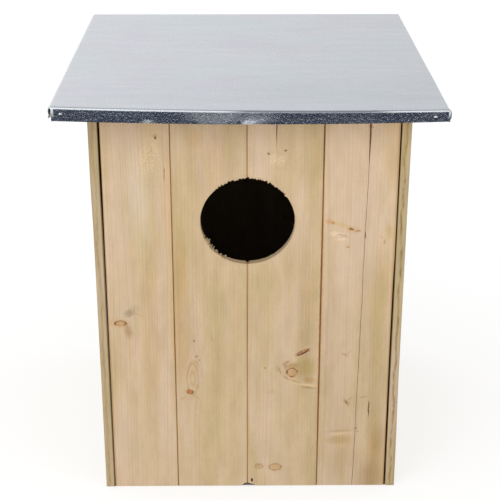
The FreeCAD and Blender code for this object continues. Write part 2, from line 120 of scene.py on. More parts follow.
class Tree:
    """Short names for building a node tree."""

    def __init__(self, tree):
        self.tree = tree

    def node(self, kind, **settings):
        made = self.tree.nodes.new(kind)
        for name, setting in settings.items():
            setattr(made, name, setting)
        return made

    def feed(self, socket, source):
        if isinstance(source, bpy.types.NodeSocket):
            self.tree.links.new(source, socket)
        elif source is not None:
            socket.default_value = source

    def math(self, operation, a, b=None, c=None, clamp=False):
        made = self.node("ShaderNodeMath", operation=operation, use_clamp=clamp)
        for socket, source in zip(made.inputs, (a, b, c)):
            self.feed(socket, source)
        return made.outputs[0]

    def plus(self, a, b):
        return self.math("ADD", a, b)

    def minus(self, a, b):
        return self.math("SUBTRACT", a, b)

    def times(self, a, b):
        return self.math("MULTIPLY", a, b)

    def times_add(self, a, b, c):
        return self.math("MULTIPLY_ADD", a, b, c)

    def over(self, a, b):
        return self.math("DIVIDE", a, b)

    def size(self, a):
        return self.math("ABSOLUTE", a)

    def vector(self, operation, a, b=None, scale=None):
        made = self.node("ShaderNodeVectorMath", operation=operation)
        self.feed(made.inputs[0], a)
        self.feed(made.inputs[1], b)
        if scale is not None:
            self.feed(made.inputs["Scale"], scale)
        return made.outputs["Value" if operation == "LENGTH" else 0]

    def join(self, x, y, z):
        made = self.node("ShaderNodeCombineXYZ")
        for socket, source in zip(made.inputs, (x, y, z)):
            self.feed(socket, source)
        return made.outputs[0]

    def grey(self, value):
        return self.join(value, value, value)

    def split(self, vector):
        made = self.node("ShaderNodeSeparateXYZ")
        self.feed(made.inputs[0], vector)
        return made.outputs

    def noise(self, vector, scale, detail=2.0, rough=0.5):
        made = self.node("ShaderNodeTexNoise")
        for key, source in (("Vector", vector), ("Scale", scale), ("Detail", detail), ("Roughness", rough)):
            self.feed(made.inputs[key], source)
        return made.outputs[0]

    def chance(self, source):
        """A random value from 0 to 1 for each value of the source."""
        made = self.node("ShaderNodeTexWhiteNoise", noise_dimensions="1D")
        self.feed(made.inputs["W"], source)
        return made.outputs["Value"]

    def ramp(self, value, *stops):
        """Maps a value through (position, grey or colour) stops."""
        made = self.node("ShaderNodeValToRGB")
        self.feed(made.inputs[0], value)
        elements = made.color_ramp.elements
        while len(elements) < len(stops):
            elements.new(1.0)
        for element, (position, colour) in zip(elements, stops):
            element.position = position
            grey = not isinstance(colour, tuple)
            element.color = (colour,) * 3 + (1,) if grey else colour + (1,)
        return made.outputs[0]

    def span(self, value, low, high, to_low=0.0, to_high=1.0):
        made = self.node("ShaderNodeMapRange", interpolation_type="SMOOTHSTEP")
        for socket, source in zip(made.inputs, (value, low, high, to_low, to_high)):
            self.feed(socket, source)
        return made.outputs[0]

    def mix(self, factor, a, b, blend="MIX"):
        made = self.node("ShaderNodeMix", data_type="RGBA", blend_type=blend)
        self.feed(made.inputs[0], factor)
        for number, colour in zip(MIX_COLOURS, (a, b)):
            self.feed(made.inputs[number], colour + (1,) if isinstance(colour, tuple) else colour)
        return made.outputs[MIX_RESULT]

    def tint(self, factor, colour, tint):
        return self.mix(factor, colour, tint, "MULTIPLY")

    def bump(self, height, distance, strength):
        made = self.node("ShaderNodeBump")
        for key, source in (("Height", height), ("Distance", distance), ("Strength", strength)):
            self.feed(made.inputs[key], source)
        return made.outputs[0]


def new_material(name):
    """A material with a Principled shader. Returns the material, its tree and the shader."""
    material = bpy.data.materials.new(name)
    material.use_nodes = True
    shader = material.node_tree.nodes["Principled BSDF"]
    return material, Tree(material.node_tree), shader


def srgb(red, green, blue):
    """Linear colour from 8-bit sRGB."""
    def line(channel):
        c = channel / 255
        return c / 12.92 if c <= 0.04045 else ((c + 0.055) / 1.055) ** 2.4
    return (line(red), line(green), line(blue))


def make_knot_group():
    """How one knot bends the grain and where its wood is, in a board's (across, along) plane."""
    group = bpy.data.node_groups.new("knot", "ShaderNodeTree")
    for name, kind in (("Place", "NodeSocketVector"), ("Centre", "NodeSocketVector"),
                       ("Radius", "NodeSocketFloat"), ("Stretch", "NodeSocketFloat"),
                       ("Turn", "NodeSocketFloat"), ("Pull", "NodeSocketFloat")):
        group.interface.new_socket(name, in_out="INPUT", socket_type=kind)
    for name in ("Warp", "Distance"):
        group.interface.new_socket(name, in_out="OUTPUT", socket_type="NodeSocketFloat")
    tree = Tree(group)
    given = tree.node("NodeGroupInput").outputs
    result = tree.node("NodeGroupOutput").inputs
    offset = tree.vector("SUBTRACT", given["Place"], given["Centre"])
    turn = tree.node("ShaderNodeVectorRotate", rotation_type="Z_AXIS")
    tree.feed(turn.inputs["Vector"], offset)
    tree.feed(turn.inputs["Angle"], given["Turn"])
    across, along, _ = tree.split(turn.outputs[0])
    squashed = tree.over(along, given["Stretch"])
    reach = tree.plus(tree.times(across, across), tree.times(squashed, squashed))
    area = tree.times(given["Radius"], given["Radius"])
    share = tree.over(area, tree.math("MAXIMUM", reach, area))
    side = tree.split(offset)[0]
    tree.feed(result["Warp"], tree.times(tree.times(side, share), given["Pull"]))
    tree.feed(result["Distance"], tree.over(tree.math("SQRT", reach), given["Radius"]))
    return group


KNOT_GROUP = make_knot_group()


# ---------------------------------------------------------------- materials

PINK = srgb(206, 181, 153)
STRAW = srgb(199, 174, 138)
OLIVE = srgb(190, 167, 125)
LATEWOOD = (0.82, 0.72, 0.58)
HALO = (0.95, 0.80, 0.60)
BARK = (0.26, 0.14, 0.06)
SEAM_BROWN = (0.84, 0.70, 0.52)
FLAP_TALL = 530 * MM


def place_in_grain(tree, order):
    """The surface's place as (across, depth, along) the grain, from the object's own axes."""
    axes = tree.split(tree.node("ShaderNodeTexCoord").outputs["Object"])
    return [axes["XYZ".index(letter)] for letter in order]


def make_stain(tree, colour, flat, breaks, centre, size, tint, turn=0.0, strength=1.0, core=0.3, broken=0.0):
    """Multiplies a tint into a soft ellipse. Centre and size are in millimetres, turn in degrees."""
    spot = tree.node("ShaderNodeMapping", vector_type="TEXTURE")
    tree.feed(spot.inputs["Vector"], flat)
    spot.inputs["Location"].default_value = (centre[0] * MM, centre[1] * MM, 0)
    spot.inputs["Rotation"].default_value = (0, 0, math.radians(turn))
    spot.inputs["Scale"].default_value = (size[0] * MM, size[1] * MM, 1)
    distance = tree.vector("LENGTH", spot.outputs[0])
    share = tree.span(distance, core, 1.0, strength, 0.0)
    if broken:
        share = tree.times(share, tree.times_add(breaks, broken, 1 - broken))
    return tree.tint(share, colour, tint)


def make_rings(tree, bent, depth, seed, gap):
    """Latewood lines, from 0 to 1, of growth rings about a pith that lies beside the board."""
    pith = tree.times_add(tree.chance(seed), 0.06, -0.16)
    offset = tree.join(tree.minus(bent, pith), tree.plus(depth, 0.03), 0.0)
    radius = tree.vector("LENGTH", offset)
    uneven = tree.noise(tree.join(radius, seed, 0.0), 60, detail=1)
    count = tree.plus(tree.over(radius, gap), tree.times(uneven, 2.4))
    late = tree.ramp(tree.math("FRACT", count), (0.0, 0.1), (0.35, 0.0), (0.78, 1.0), (1.0, 0.1))
    year = tree.chance(tree.plus(tree.math("FLOOR", count), seed))
    return tree.times(late, tree.times_add(year, 0.8, 0.2))


def make_pine(name, order="XYZ", light=1.0, warm=0.0, gap=3.6, contrast=0.35, corner=(0, 0),
              knots=(), stains=(), sawn=0.0, painted_light_fall=(), wide=0.0, vein=0.0, rear=0.32):
    """Planed pine. Knots and stains are placed in the row frame's millimetres, less the corner.

    A knot is (centre, radius, stretch, turn, pull, core tint, rim strength, halo strength).
    Wide is the width of a board whose seams have gone brown. A vein is a wavy line on the board's edge.
    """
    material, tree, shader = new_material(name)
    seed = tree.node("ShaderNodeAttribute", attribute_name="seed").outputs["Fac"]
    across, depth, along = place_in_grain(tree, order)
    shift = tree.vector("SCALE", (3.17, 1.79, 2.33), scale=seed)

    def drawn_out(share):
        return tree.vector("ADD", tree.join(across, depth, tree.times(along, share)), shift)

    ragged = tree.noise(drawn_out(0.6), 320, detail=2)
    fuzz = tree.times(tree.minus(ragged, 0.5), 2.4 * MM)
    flat = tree.join(tree.plus(across, fuzz), tree.plus(along, fuzz), 0.0)

    slow = tree.noise(drawn_out(0.09), 15, detail=2)
    bent = tree.plus(across, tree.times(tree.minus(slow, 0.5), 0.03))
    fields = []
    for centre, radius, stretch, turn, pull, *_ in knots:
        knot = tree.node("ShaderNodeGroup", node_tree=KNOT_GROUP)
        tree.feed(knot.inputs["Place"], flat)
        spot = [(centre[k] - corner[k]) * MM for k in (0, 1)]
        for key, setting in (("Centre", (*spot, 0)), ("Radius", radius * MM), ("Stretch", stretch),
                             ("Turn", math.radians(turn)), ("Pull", pull)):
            knot.inputs[key].default_value = setting
        bent = tree.minus(bent, knot.outputs["Warp"])
        fields.append(knot.outputs["Distance"])

    rings = make_rings(tree, bent, depth, seed, gap * MM)
    zone = tree.noise(drawn_out(0.2), 24, detail=4, rough=0.62)
    zone = tree.plus(zone, warm)
    colour = tree.ramp(zone, (0.32, OLIVE), (0.47, STRAW), (0.64, PINK))
    peach = tree.span(tree.noise(drawn_out(0.22), 34, detail=3), 0.55, 0.72)
    colour = tree.tint(tree.times(peach, 0.8), colour, (1.0, 0.955, 0.90))
    colour = tree.tint(tree.times(rings, contrast), colour, LATEWOOD)
    fibres = tree.noise(drawn_out(0.03), 800, detail=2)
    streaks = tree.noise(drawn_out(0.02), 160, detail=2)
    soft = tree.plus(tree.times(fibres, 0.10), tree.times(streaks, 0.10))
    grit = tree.noise(drawn_out(0.8), 620, detail=2, rough=0.7)
    soft = tree.plus(soft, tree.times(grit, 0.16))
    soft = tree.plus(soft, 0.79)
    blotch = tree.noise(drawn_out(0.4), 60, detail=4, rough=0.62)
    shade = tree.times(soft, tree.span(blotch, 0.3, 0.7, 0.95 * light, 1.04 * light))
    colour = tree.tint(1.0, colour, tree.grey(shade))
    # Painted light and shade: the painted_light_fall ramp makes the colour lighter or darker up the board's
    # height.
    if painted_light_fall:
        tall = tree.over(along, FLAP_TALL)
        colour = tree.tint(1.0, colour, tree.ramp(tall, *painted_light_fall))

    height = tree.plus(tree.times(rings, 0.5), tree.times(fibres, 0.5))
    gaps_in_bark = tree.span(tree.noise(flat, 190, detail=2), 0.36, 0.56, 0.15, 1.0)
    for (_, _, _, _, _, core, rim, halo), distance in zip(knots, fields):
        colour = tree.tint(tree.span(distance, 0.9, 2.3, halo, 0.0), colour, HALO)
        inside = tree.math("LESS_THAN", distance, 1.0)
        whorl = tree.math("SINE", tree.times(distance, 13.0))
        whorl = tree.times_add(whorl, 0.09, 0.93)
        heart = tree.tint(1.0, core, tree.grey(whorl))
        colour = tree.tint(tree.times(inside, 0.9), colour, heart)
        from_rim = tree.over(tree.size(tree.minus(distance, 1.0)), 0.24)
        bark = tree.math("SUBTRACT", 1.0, from_rim, clamp=True)
        bark = tree.times(bark, gaps_in_bark)
        colour = tree.tint(tree.times(bark, rim), colour, BARK)
        height = tree.minus(height, tree.times(bark, 2.0 * rim))
    breaks = tree.span(tree.noise(flat, 420, detail=2), 0.44, 0.56)
    for centre, size, tint, *rest in stains:
        spot = [centre[k] - corner[k] for k in (0, 1)]
        colour = make_stain(tree, colour, flat, breaks, spot, size, tint, *rest)

    if wide:
        aside = tree.size(tree.minus(across, wide / 2))
        seam = tree.span(aside, wide / 2 - 1.7 * MM, wide / 2 - 0.6 * MM)
        colour = tree.tint(seam, colour, SEAM_BROWN)
    if vein:
        waves = tree.times_add(tree.noise(drawn_out(0.7), 60, detail=3), 9 * MM, 1.2 * MM)
        line = tree.span(tree.size(tree.minus(depth, waves)), 0.2 * MM, 2.2 * MM, vein, 0.0)
        line = tree.times(line, tree.span(tree.noise(drawn_out(0.5), 130, detail=3), 0.35, 0.6, 0.3, 1.0))
        colour = tree.tint(line, colour, (0.54, 0.45, 0.29))
        colour = tree.tint(tree.span(depth, 0.9 * MM, 1.9 * MM, 0.8, 0.0), colour, (0.86, 0.90, 0.96))
    # Painted shade: the rear factor makes the face that looks into the box much darker.
    inner = tree.span(depth, THICK - 1.0 * MM, THICK - 0.4 * MM)
    colour = tree.tint(inner, colour, (rear, 0.95 * rear, 0.88 * rear))
    if sawn:
        tears = tree.noise(drawn_out(0.25), 900, detail=3, rough=0.7)
        height = tree.plus(height, tree.times(tears, 4.0 * sawn))
        colour = tree.tint(sawn, colour, tree.ramp(tears, (0.3, (0.80, 0.74, 0.64)), (0.55, 1.0)))
    tree.feed(shader.inputs["Base Color"], colour)
    tree.feed(shader.inputs["Roughness"], tree.times_add(fibres, 0.18, 0.50 + 0.2 * sawn))
    tree.feed(shader.inputs["Normal"], tree.bump(height, 0.10 * MM, 0.5))
    shader.inputs["Specular IOR Level"].default_value = 0.32
    return material


def make_zinc(name):
    """Hot-dip galvanised sheet: small spangles, cloudy patches and a soft, cool shine. On the front lip, a
    painted highlight at both ends, a painted sheen left of the middle and painted shade on the fold.
    """
    material, tree, shader = new_material(name)
    place = tree.node("ShaderNodeTexCoord").outputs["Object"]
    x, y, z = tree.split(place)
    rolled = tree.join(x, tree.times(y, 0.45), tree.times(z, 0.6))
    cells = tree.node("ShaderNodeTexVoronoi", feature="F1")
    tree.feed(cells.inputs["Vector"], rolled)
    cells.inputs["Scale"].default_value = 1 / (1.8 * MM)
    facet = tree.split(cells.outputs["Color"])
    speckle = tree.noise(rolled, 1 / (1.0 * MM), detail=3, rough=0.6)
    cloud = tree.noise(place, 9, detail=4, rough=0.55)
    brushed = tree.noise(tree.join(tree.times(x, 0.15), y, z), 70, detail=4, rough=0.6)
    lilac, neutral, green = srgb(205, 205, 215), srgb(208, 212, 218), srgb(207, 215, 219)
    tint = tree.ramp(cloud, (0.3, lilac), (0.5, neutral), (0.7, green))
    shade = tree.times_add(facet[0], 0.01, 0.895)
    shade = tree.plus(shade, tree.times(brushed, 0.18))
    colour = tree.tint(1.0, tint, tree.grey(shade))
    rough = tree.times_add(facet[1], 0.04, 0.19)
    tree.feed(shader.inputs["Roughness"], tree.times_add(cloud, 0.10, rough))
    upward = tree.split(tree.node("ShaderNodeTexCoord").outputs["Normal"])[2]
    folded = tree.span(upward, 0.3, 0.95, 1.0, 0.0)
    tilt = tree.plus(tree.times(facet[2], 0.5), speckle)
    depth = tree.times_add(folded, 0.34 * MM, 0.002 * MM)
    tree.feed(shader.inputs["Normal"], tree.bump(tilt, depth, 0.8))
    # Painted highlight: on the front lip, where front is 0, the ends lose their metal, so their pale colour
    # shows as a white edge.
    aside = tree.size(tree.minus(x, 1.7 * MM))
    corner = tree.span(aside, HALF - 4.3 * MM, HALF - 3.5 * MM, 1.0, 0.0)
    front = tree.span(y, 0.5 * MM - HALF, 1.2 * MM - HALF)
    # Painted sheen: left of the middle, the front lip loses some metal, so it shows paler.
    painted_sheen = tree.span(tree.size(tree.plus(x, 32 * MM)), 18 * MM, 62 * MM, 0.16, 0.0)
    painted_sheen = tree.times(painted_sheen, tree.span(tree.noise(place, 70, detail=4, rough=0.6), 0.3, 0.65, 0.35, 1.0))
    metal = tree.minus(corner, painted_sheen)
    tree.feed(shader.inputs["Metallic"], tree.math("MAXIMUM", metal, front))
    # Painted shade: on the front fold right of the middle, the base colour is made dark so the fold reflects
    # little.
    bent = tree.minus(tree.span(upward, 0.10, 0.35), tree.span(upward, 0.88, 0.97))
    near = tree.span(y, 6 * MM - HALF, 8 * MM - HALF, 1.0, 0.0)
    dullness_and_painted_shade = tree.span(tree.size(tree.minus(x, 72 * MM)), 72 * MM, 108 * MM, 0.9, 0.0)
    dullness_and_painted_shade = tree.times(dullness_and_painted_shade, tree.times(bent, near))
    tree.feed(shader.inputs["Base Color"], tree.tint(dullness_and_painted_shade, colour, (0.24, 0.25, 0.27)))
    return material


def make_steel(name, tint, roughness):
    """Plated steel of small fixings, with handling marks."""
    material, tree, shader = new_material(name)
    place = tree.node("ShaderNodeTexCoord").outputs["Object"]
    dullness_and_painted_shade = tree.noise(place, 1 / (1.1 * MM), detail=3)
    worn = tree.span(dullness_and_painted_shade, 0.35, 0.7, 0.75, 1.0)
    tree.feed(shader.inputs["Base Color"], tree.tint(1.0, tint, tree.grey(worn)))
    tree.feed(shader.inputs["Roughness"], tree.times_add(dullness_and_painted_shade, 0.25, roughness))
    tree.feed(shader.inputs["Normal"], tree.bump(dullness_and_painted_shade, 0.05 * MM, 0.4))
    shader.inputs["Metallic"].default_value = 1.0
    return material


# ---------------------------------------------------------------- meshes

SHARP = math.radians(38)
ARC_STEPS = 3
DRILL_SIDES = 40


def add_object(bm, name, materials, matrix=None, seed=0.0):
    """Turns a bmesh in metres into a piece with smooth faces and sharp corners."""
    bmesh.ops.recalc_face_normals(bm, faces=bm.faces)
    for face in bm.faces:
        face.smooth = True
    for edge in bm.edges:
        if len(edge.link_faces) == 2 and edge.calc_face_angle() > SHARP:
            edge.smooth = False
    mesh = bpy.data.meshes.new(name)
    bm.to_mesh(mesh)
    bm.free()
    for material in materials:
        mesh.materials.append(material)
    tag = mesh.attributes.new("seed", "FLOAT", "POINT")
    tag.data.foreach_set("value", [seed] * len(mesh.vertices))
    piece = bpy.data.objects.new(name, mesh)
    if matrix is not None:
        piece.matrix_world = matrix
    bpy.context.scene.collection.objects.link(piece)
    return piece


def settle(piece, node, body):
    """The piece rides on a body in place of its CAD node."""
    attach(piece, body)
    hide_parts(node)
    return piece


def bridge(bm, loops):
    """Faces between closed loops of vertices. A loop of one vertex is a point."""
    count = max(len(loop) for loop in loops)
    for low, high in zip(loops, loops[1:]):
        for k in range(count):
            n = (k + 1) % count
            ring = low[k % len(low)], low[n % len(low)], high[n % len(high)], high[k % len(high)]
            bm.faces.new(dict.fromkeys(ring))


def corner_arc(centre, start, radius):
    """Points of a quarter turn from an angle in degrees."""
    turns = [math.radians(start + 90 * k / ARC_STEPS) for k in range(ARC_STEPS + 1)]
    return [(centre[0] + radius * math.cos(t), centre[1] + radius * math.sin(t)) for t in turns]


class Board:
    """A length of board on its own axes: across its face, inwards from it and along it."""

    def __init__(self, node, body, slot, axes, groove, tongue, seed, steps=(4, 2.6), corners=None):
        """Steps are the mesh's spacings along and across the board, in millimetres."""
        low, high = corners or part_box(node)
        self.node = node
        self.body = body
        self.slot = slot
        self.seed = seed
        self.axes = axes
        starts, sizes = [], []
        for axis in self.axes:
            ends = sorted((low.dot(axis), high.dot(axis)))
            starts.append(ends[0])
            sizes.append(ends[1] - ends[0])
        self.origin = sum((axis * start for axis, start in zip(self.axes, starts)), Vector())
        self.thick, self.length = sizes[1:]
        self.groove = groove
        self.tongue = tongue
        self.width = sizes[0] - (TONGUE if tongue else 0)
        self.arris = ARRIS
        self.ring_step, self.column_step = (step * MM for step in steps)
        self.gaps = (lambda w: 0.15 * MM, lambda w: 0.15 * MM)
        self.crack = None
        self.low_end = None
        self.high_end = None
        self.bend = None
        self.cup = 0.25 * MM

    def to_row(self, a, d, w):
        across, inwards, along = self.axes
        return self.origin + across * a + inwards * d + along * w

    def face_columns(self, left, right, w):
        """Places across the face, with a crack's two lips and its bottom if there is one."""
        count = max(2, round((self.width - 2 * self.arris) / self.column_step))
        if self.crack is None:
            return [(a, 0.0) for a in spread(left, right, count)]
        centre, half, depth = self.crack(w)
        first = max(1, round(count * centre / self.width))
        lips = [(a, 0.0) for a in spread(left, centre - half, first)]
        lips += [(centre - 0.2 * half, depth), (centre + 0.2 * half, depth)]
        return lips + [(a, 0.0) for a in spread(centre + half, right, count - first)]

    def section(self, w):
        """Outline of the board at a place along it, from its face's left arris."""
        r = self.arris
        near = self.gaps[0](w)
        far = self.width - self.gaps[1](w)
        rear = self.thick
        low = (rear - TONGUE_THICK) / 2
        high = (rear + TONGUE_THICK) / 2
        points = self.face_columns(near + r, far - r, w)
        points += corner_arc((far - r, r), -90, r)[1:]
        if self.tongue:
            tip = self.width + TONGUE
            soft = 0.5 * MM
            points += [(far, low), (tip - soft, low), (tip, low + soft)]
            points += [(tip, high - soft), (tip - soft, high), (far, high)]
        else:
            points += [(far, d) for d in spread(r, rear - r, 4)[1:-1]]
        points += corner_arc((far - r, rear - r), 0, r)
        points += [(a, rear) for a in spread(far - r, near + r, 8)[1:-1]]
        points += corner_arc((near + r, rear - r), 90, r)
        if self.groove:
            play = GROOVE_PLAY
            floor = near + TONGUE + play
            points += [(near, high + play), (floor, high + play), (floor, low - play), (near, low - play)]
        else:
            points += [(near, d) for d in spread(rear - r, r, 4)[1:-1]]
        return points + corner_arc((near + r, r), 180, r)[:-1]

    def surface(self, a, d, w):
        """Wave and cup of a dried board, and fine unevenness of its planed faces."""
        share = 2 * a / self.width - 1
        x, z = a * 14, w * 5
        off = self.cup * (share * share - 0.4) * wobble(0, 0, w * 2, self.seed)
        off += 0.22 * MM * wobble(x, 3, z, self.seed)
        aside = 0.18 * MM * wobble(1, x, w * 9, self.seed + 0.5) * abs(share)
        return a + aside, d + off, w

    def rings(self):
        edge = 0.35 * MM
        count = max(2, round(self.length / self.ring_step))
        inner = spread(edge, self.length - edge, count)
        return [(0.0, edge)] + [(w, 0.0) for w in inner] + [(self.length, edge)]

    def ends(self, a, d, w):
        """Moves the last stretch of an end that isn't square."""
        reach = 40 * MM
        if self.low_end is not None and w < reach:
            w += self.low_end(a, d) * (1 - w / reach)
        if self.high_end is not None and w > self.length - reach:
            w += self.high_end(a, d) * (1 - (self.length - w) / reach)
        return w

    def build(self, materials):
        bm = bmesh.new()
        loops = []
        for w, inset in self.rings():
            loop = []
            for a, d in self.section(w):
                mid_a, mid_d = self.width / 2, self.thick / 2
                a += math.copysign(min(inset, abs(mid_a - a)), mid_a - a)
                d += math.copysign(min(inset, abs(mid_d - d)), mid_d - d)
                place = Vector(self.surface(a, d, self.ends(a, d, w)))
                if self.bend is not None:
                    shift = self.bend(self.to_row(*place))
                    place += Vector([shift.dot(axis) for axis in self.axes])
                loop.append(bm.verts.new(place))
            loops.append(loop)
        bridge(bm, loops)
        for loop in (loops[0], loops[-1]):
            cap = bm.faces.new(loop)
            cap.material_index = 1
        caps = [face for face in bm.faces if len(face.verts) > 4]
        bmesh.ops.triangulate(bm, faces=caps, ngon_method="EAR_CLIP")
        turn = Matrix([(*(axis[k] for axis in self.axes), self.origin[k]) for k in range(3)] + [(0, 0, 0, 1)])
        piece = add_object(bm, self.node + "_wood", materials, turn, self.seed)
        return settle(piece, self.node, self.body)


def cut_with(piece, cutter):
    """Cuts a closed mesh out of a piece. The cut faces take the piece's first material."""
    bpy.context.view_layer.update()
    cut = piece.modifiers.new("cut", "BOOLEAN")
    cut.operation = "DIFFERENCE"
    cut.solver = "EXACT"
    cut.material_mode = "INDEX"
    cut.object = cutter
    graph = bpy.context.evaluated_depsgraph_get()
    mesh = bpy.data.meshes.new_from_object(piece.evaluated_get(graph))
    piece.modifiers.remove(cut)
    old = piece.data
    piece.data = mesh
    bpy.data.meshes.remove(old)
    bm = bmesh.new()
    bm.from_mesh(mesh)
    for edge in bm.edges:
        if len(edge.link_faces) == 2:
            edge.smooth = edge.calc_face_angle() <= SHARP
    bm.to_mesh(mesh)
    bm.free()


def cut_out(pieces, rings):
    """Cuts a tube of rings of points, capped at both ends, out of pieces."""
    bm = bmesh.new()
    loops = [[bm.verts.new(point) for point in ring] for ring in rings]
    bridge(bm, loops)
    for loop in (loops[0], loops[-1]):
        bm.faces.new(loop)
    cutter = add_object(bm, "cutter", ())
    for piece in pieces:
        cut_with(piece, cutter)
    bpy.data.objects.remove(cutter)


def round_ring(centre, axis, radius, count):
    """A circle of points about an axis."""
    side = axis.orthogonal().normalized()
    up = axis.cross(side)
    turns = [2 * math.pi * k / count for k in range(count)]
    return [centre + side * radius * math.cos(t) + up * radius * math.sin(t) for t in turns]


def drill(piece, start, axis, profile):
    """Drills through a piece. The profile is pairs of a distance along the axis and a radius."""
    cut_out([piece], [round_ring(start + axis * at, axis, radius, DRILL_SIDES) for at, radius in profile])


# ---------------------------------------------------------------- roof shape

UP_SLOPE = Vector((0, math.cos(SLOPE), math.sin(SLOPE)))
ROOF_NORMAL = Vector((0, -math.sin(SLOPE), math.cos(SLOPE)))
DECK_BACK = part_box("back_board_1")[1]
ROOF_ORIGIN = Vector((0, DECK_BACK.y, DECK_BACK.z)) - UP_SLOPE * ROOF_SIDE
ROOF_TOP = THICK + SHEET
ROOF_SHIFT_MM = 1.85
SHIFT_REACH = 260 * MM
SAG_REACH = 160 * MM
TOLERANCE = 1e-7

# The fold starts with a soft bend, then turns sharply down.
SOFT_BEND = 7 * MM
SHARP_BEND = 1.8 * MM
SOFT_TURN = math.radians(25)
SOFT_PATH = SOFT_BEND * SOFT_TURN
FOLD_PATH = SOFT_PATH + SHARP_BEND * (math.pi / 2 - SOFT_TURN)
SOFT_OUT = SOFT_BEND * math.sin(SOFT_TURN)
SOFT_DOWN = SOFT_BEND * (1 - math.cos(SOFT_TURN))
FOLD = SOFT_OUT + SHARP_BEND * (1 - math.sin(SOFT_TURN))
FOLD_DROP = SOFT_DOWN + SHARP_BEND * math.cos(SOFT_TURN)


def on_roof(x, along, above):
    """A place on the roof's own axes, with its origin at the middle of the deck's front lower edge."""
    return ROOF_ORIGIN + X * x + UP_SLOPE * along + ROOF_NORMAL * above


def roof_bend(place):
    """The roof's front edge sags in the middle, and behind it the roof stands a little to the left."""
    t = place.x / HALF
    sag = (-3.1 - 2.35 * t + 2.95 * t * t) * MM
    along = (place - ROOF_ORIGIN).dot(UP_SLOPE)
    ahead = 1 - clamp(along / SHIFT_REACH)
    return Z * sag * (1 - ease(0, SAG_REACH, along)) - X * ROOF_SHIFT_MM * MM * (1 - ahead * ahead)


def under_roof(board):
    """Lets an upright board's top follow the bent roof."""
    def rise(a, d):
        place = board.to_row(a, d, 0)
        level = DECK_BACK.z - (DECK_BACK.y - place.y) * math.tan(SLOPE)
        top = Vector((place.x, place.y, level))
        return level + roof_bend(top).z - 0.15 * MM - board.origin.z - board.length
    return rise


def fold_over(past):
    """How far out and down a fold takes the sheet, at a distance past the fold's start."""
    if past <= 0:
        return past, 0.0
    if past <= SOFT_PATH:
        turn = past / SOFT_BEND
        return SOFT_BEND * math.sin(turn), SOFT_BEND * (1 - math.cos(turn))
    turn = min(SOFT_TURN + (past - SOFT_PATH) / SHARP_BEND, math.pi / 2)
    straight = max(0.0, past - FOLD_PATH)
    out = SOFT_OUT + SHARP_BEND * (math.sin(turn) - math.sin(SOFT_TURN))
    down = SOFT_DOWN + SHARP_BEND * (math.cos(SOFT_TURN) - math.cos(turn))
    return out, down + straight


def lip_places(drop):
    """Distances past the start of a fold, round the fold and down the lip."""
    bend = spread(0, SOFT_PATH, 5) + spread(SOFT_PATH, FOLD_PATH, 6)[1:]
    return bend + spread(FOLD_PATH, FOLD_PATH + drop - FOLD_DROP, 14)[1:]


def front_lip_shape(x, down):
    """Dents in the front lip: how far the sheet moves out and up there."""
    t = x / HALF
    low = ease(0, LIP, down)
    # The lip's edge is folded out near the middle, in a shallow swell with a pinch beside it.
    out = 1.1 * MM * (ease(-9 * MM, -6 * MM, x) - ease(1 * MM, 6 * MM, x)) * low ** 14
    out += 0.35 * MM * (ease(-9 * MM, -4 * MM, x) - ease(14 * MM, 30 * MM, x)) * low ** 3
    out += 0.75 * MM * (ease(-75 * MM, -45 * MM, x) - ease(20 * MM, 45 * MM, x)) * low
    out -= 0.7 * MM * bell(x, -13 * MM, 4 * MM) * low
    # A small dent further left, and slight waves all along.
    out += 0.9 * MM * bell(x, -122 * MM, 6 * MM) * low ** 14
    out += 0.25 * MM * wobble(x * 22, 0, down * 60, 2) * low
    up = 0.9 * MM * bell(x, 8 * MM, 14 * MM) * low ** 5
    up += 0.6 * MM * bell(x, -122 * MM, 6 * MM) * low ** 5
    up -= (0.9 - 1.4 * t - 0.8 * t * t) * MM * low
    return out, up


def make_sheet(material):
    """The roof's tray: one sheet, notched at its corners and folded down on all four sides."""
    flat = HALF - FOLD
    side = lip_places(LIP)
    rear = lip_places(THICK + SHEET)
    columns = [-flat - p for p in reversed(side)] + spread(-flat, flat, 110)[1:-1] + [flat + p for p in side]
    rows = [FOLD - p for p in reversed(side)] + spread(FOLD, ROOF_SIDE - FOLD, 90)[1:-1]
    rows += [ROOF_SIDE - FOLD + p for p in rear]
    bm = bmesh.new()
    grid = {}
    for i, u in enumerate(columns):
        for j, v in enumerate(rows):
            past_side = abs(u) - flat
            past_end = max(FOLD - v, v - ROOF_SIDE + FOLD)
            in_notch = min(past_side, past_end) > SOFT_PATH + TOLERANCE
            if not in_notch:
                grid[i, j] = bm.verts.new(sheet_point(u, v, flat, past_side, past_end))
    for i in range(len(columns) - 1):
        for j in range(len(rows) - 1):
            ring = [grid.get(key) for key in ((i, j), (i + 1, j), (i + 1, j + 1), (i, j + 1))]
            if None not in ring:
                bm.faces.new(ring)
    bmesh.ops.recalc_face_normals(bm, faces=bm.faces)
    bmesh.ops.solidify(bm, geom=list(bm.faces), thickness=SHEET)
    settle(add_object(bm, "roof_sheet_zinc", (material,)), "roof_sheet", "box")


def corner_flare(left, down):
    """How far the front end of a side lip stands off: at the top on the left, all down on the right."""
    if left:
        return 0.9 * MM * ease(0, 2.5 * MM, down) * (1 - 2.2 * ease(7.5 * MM, 13 * MM, down))
    return 1.2 * MM * ease(0, 2.5 * MM, down) * (1 - 0.9 * ease(8 * MM, 13 * MM, down))


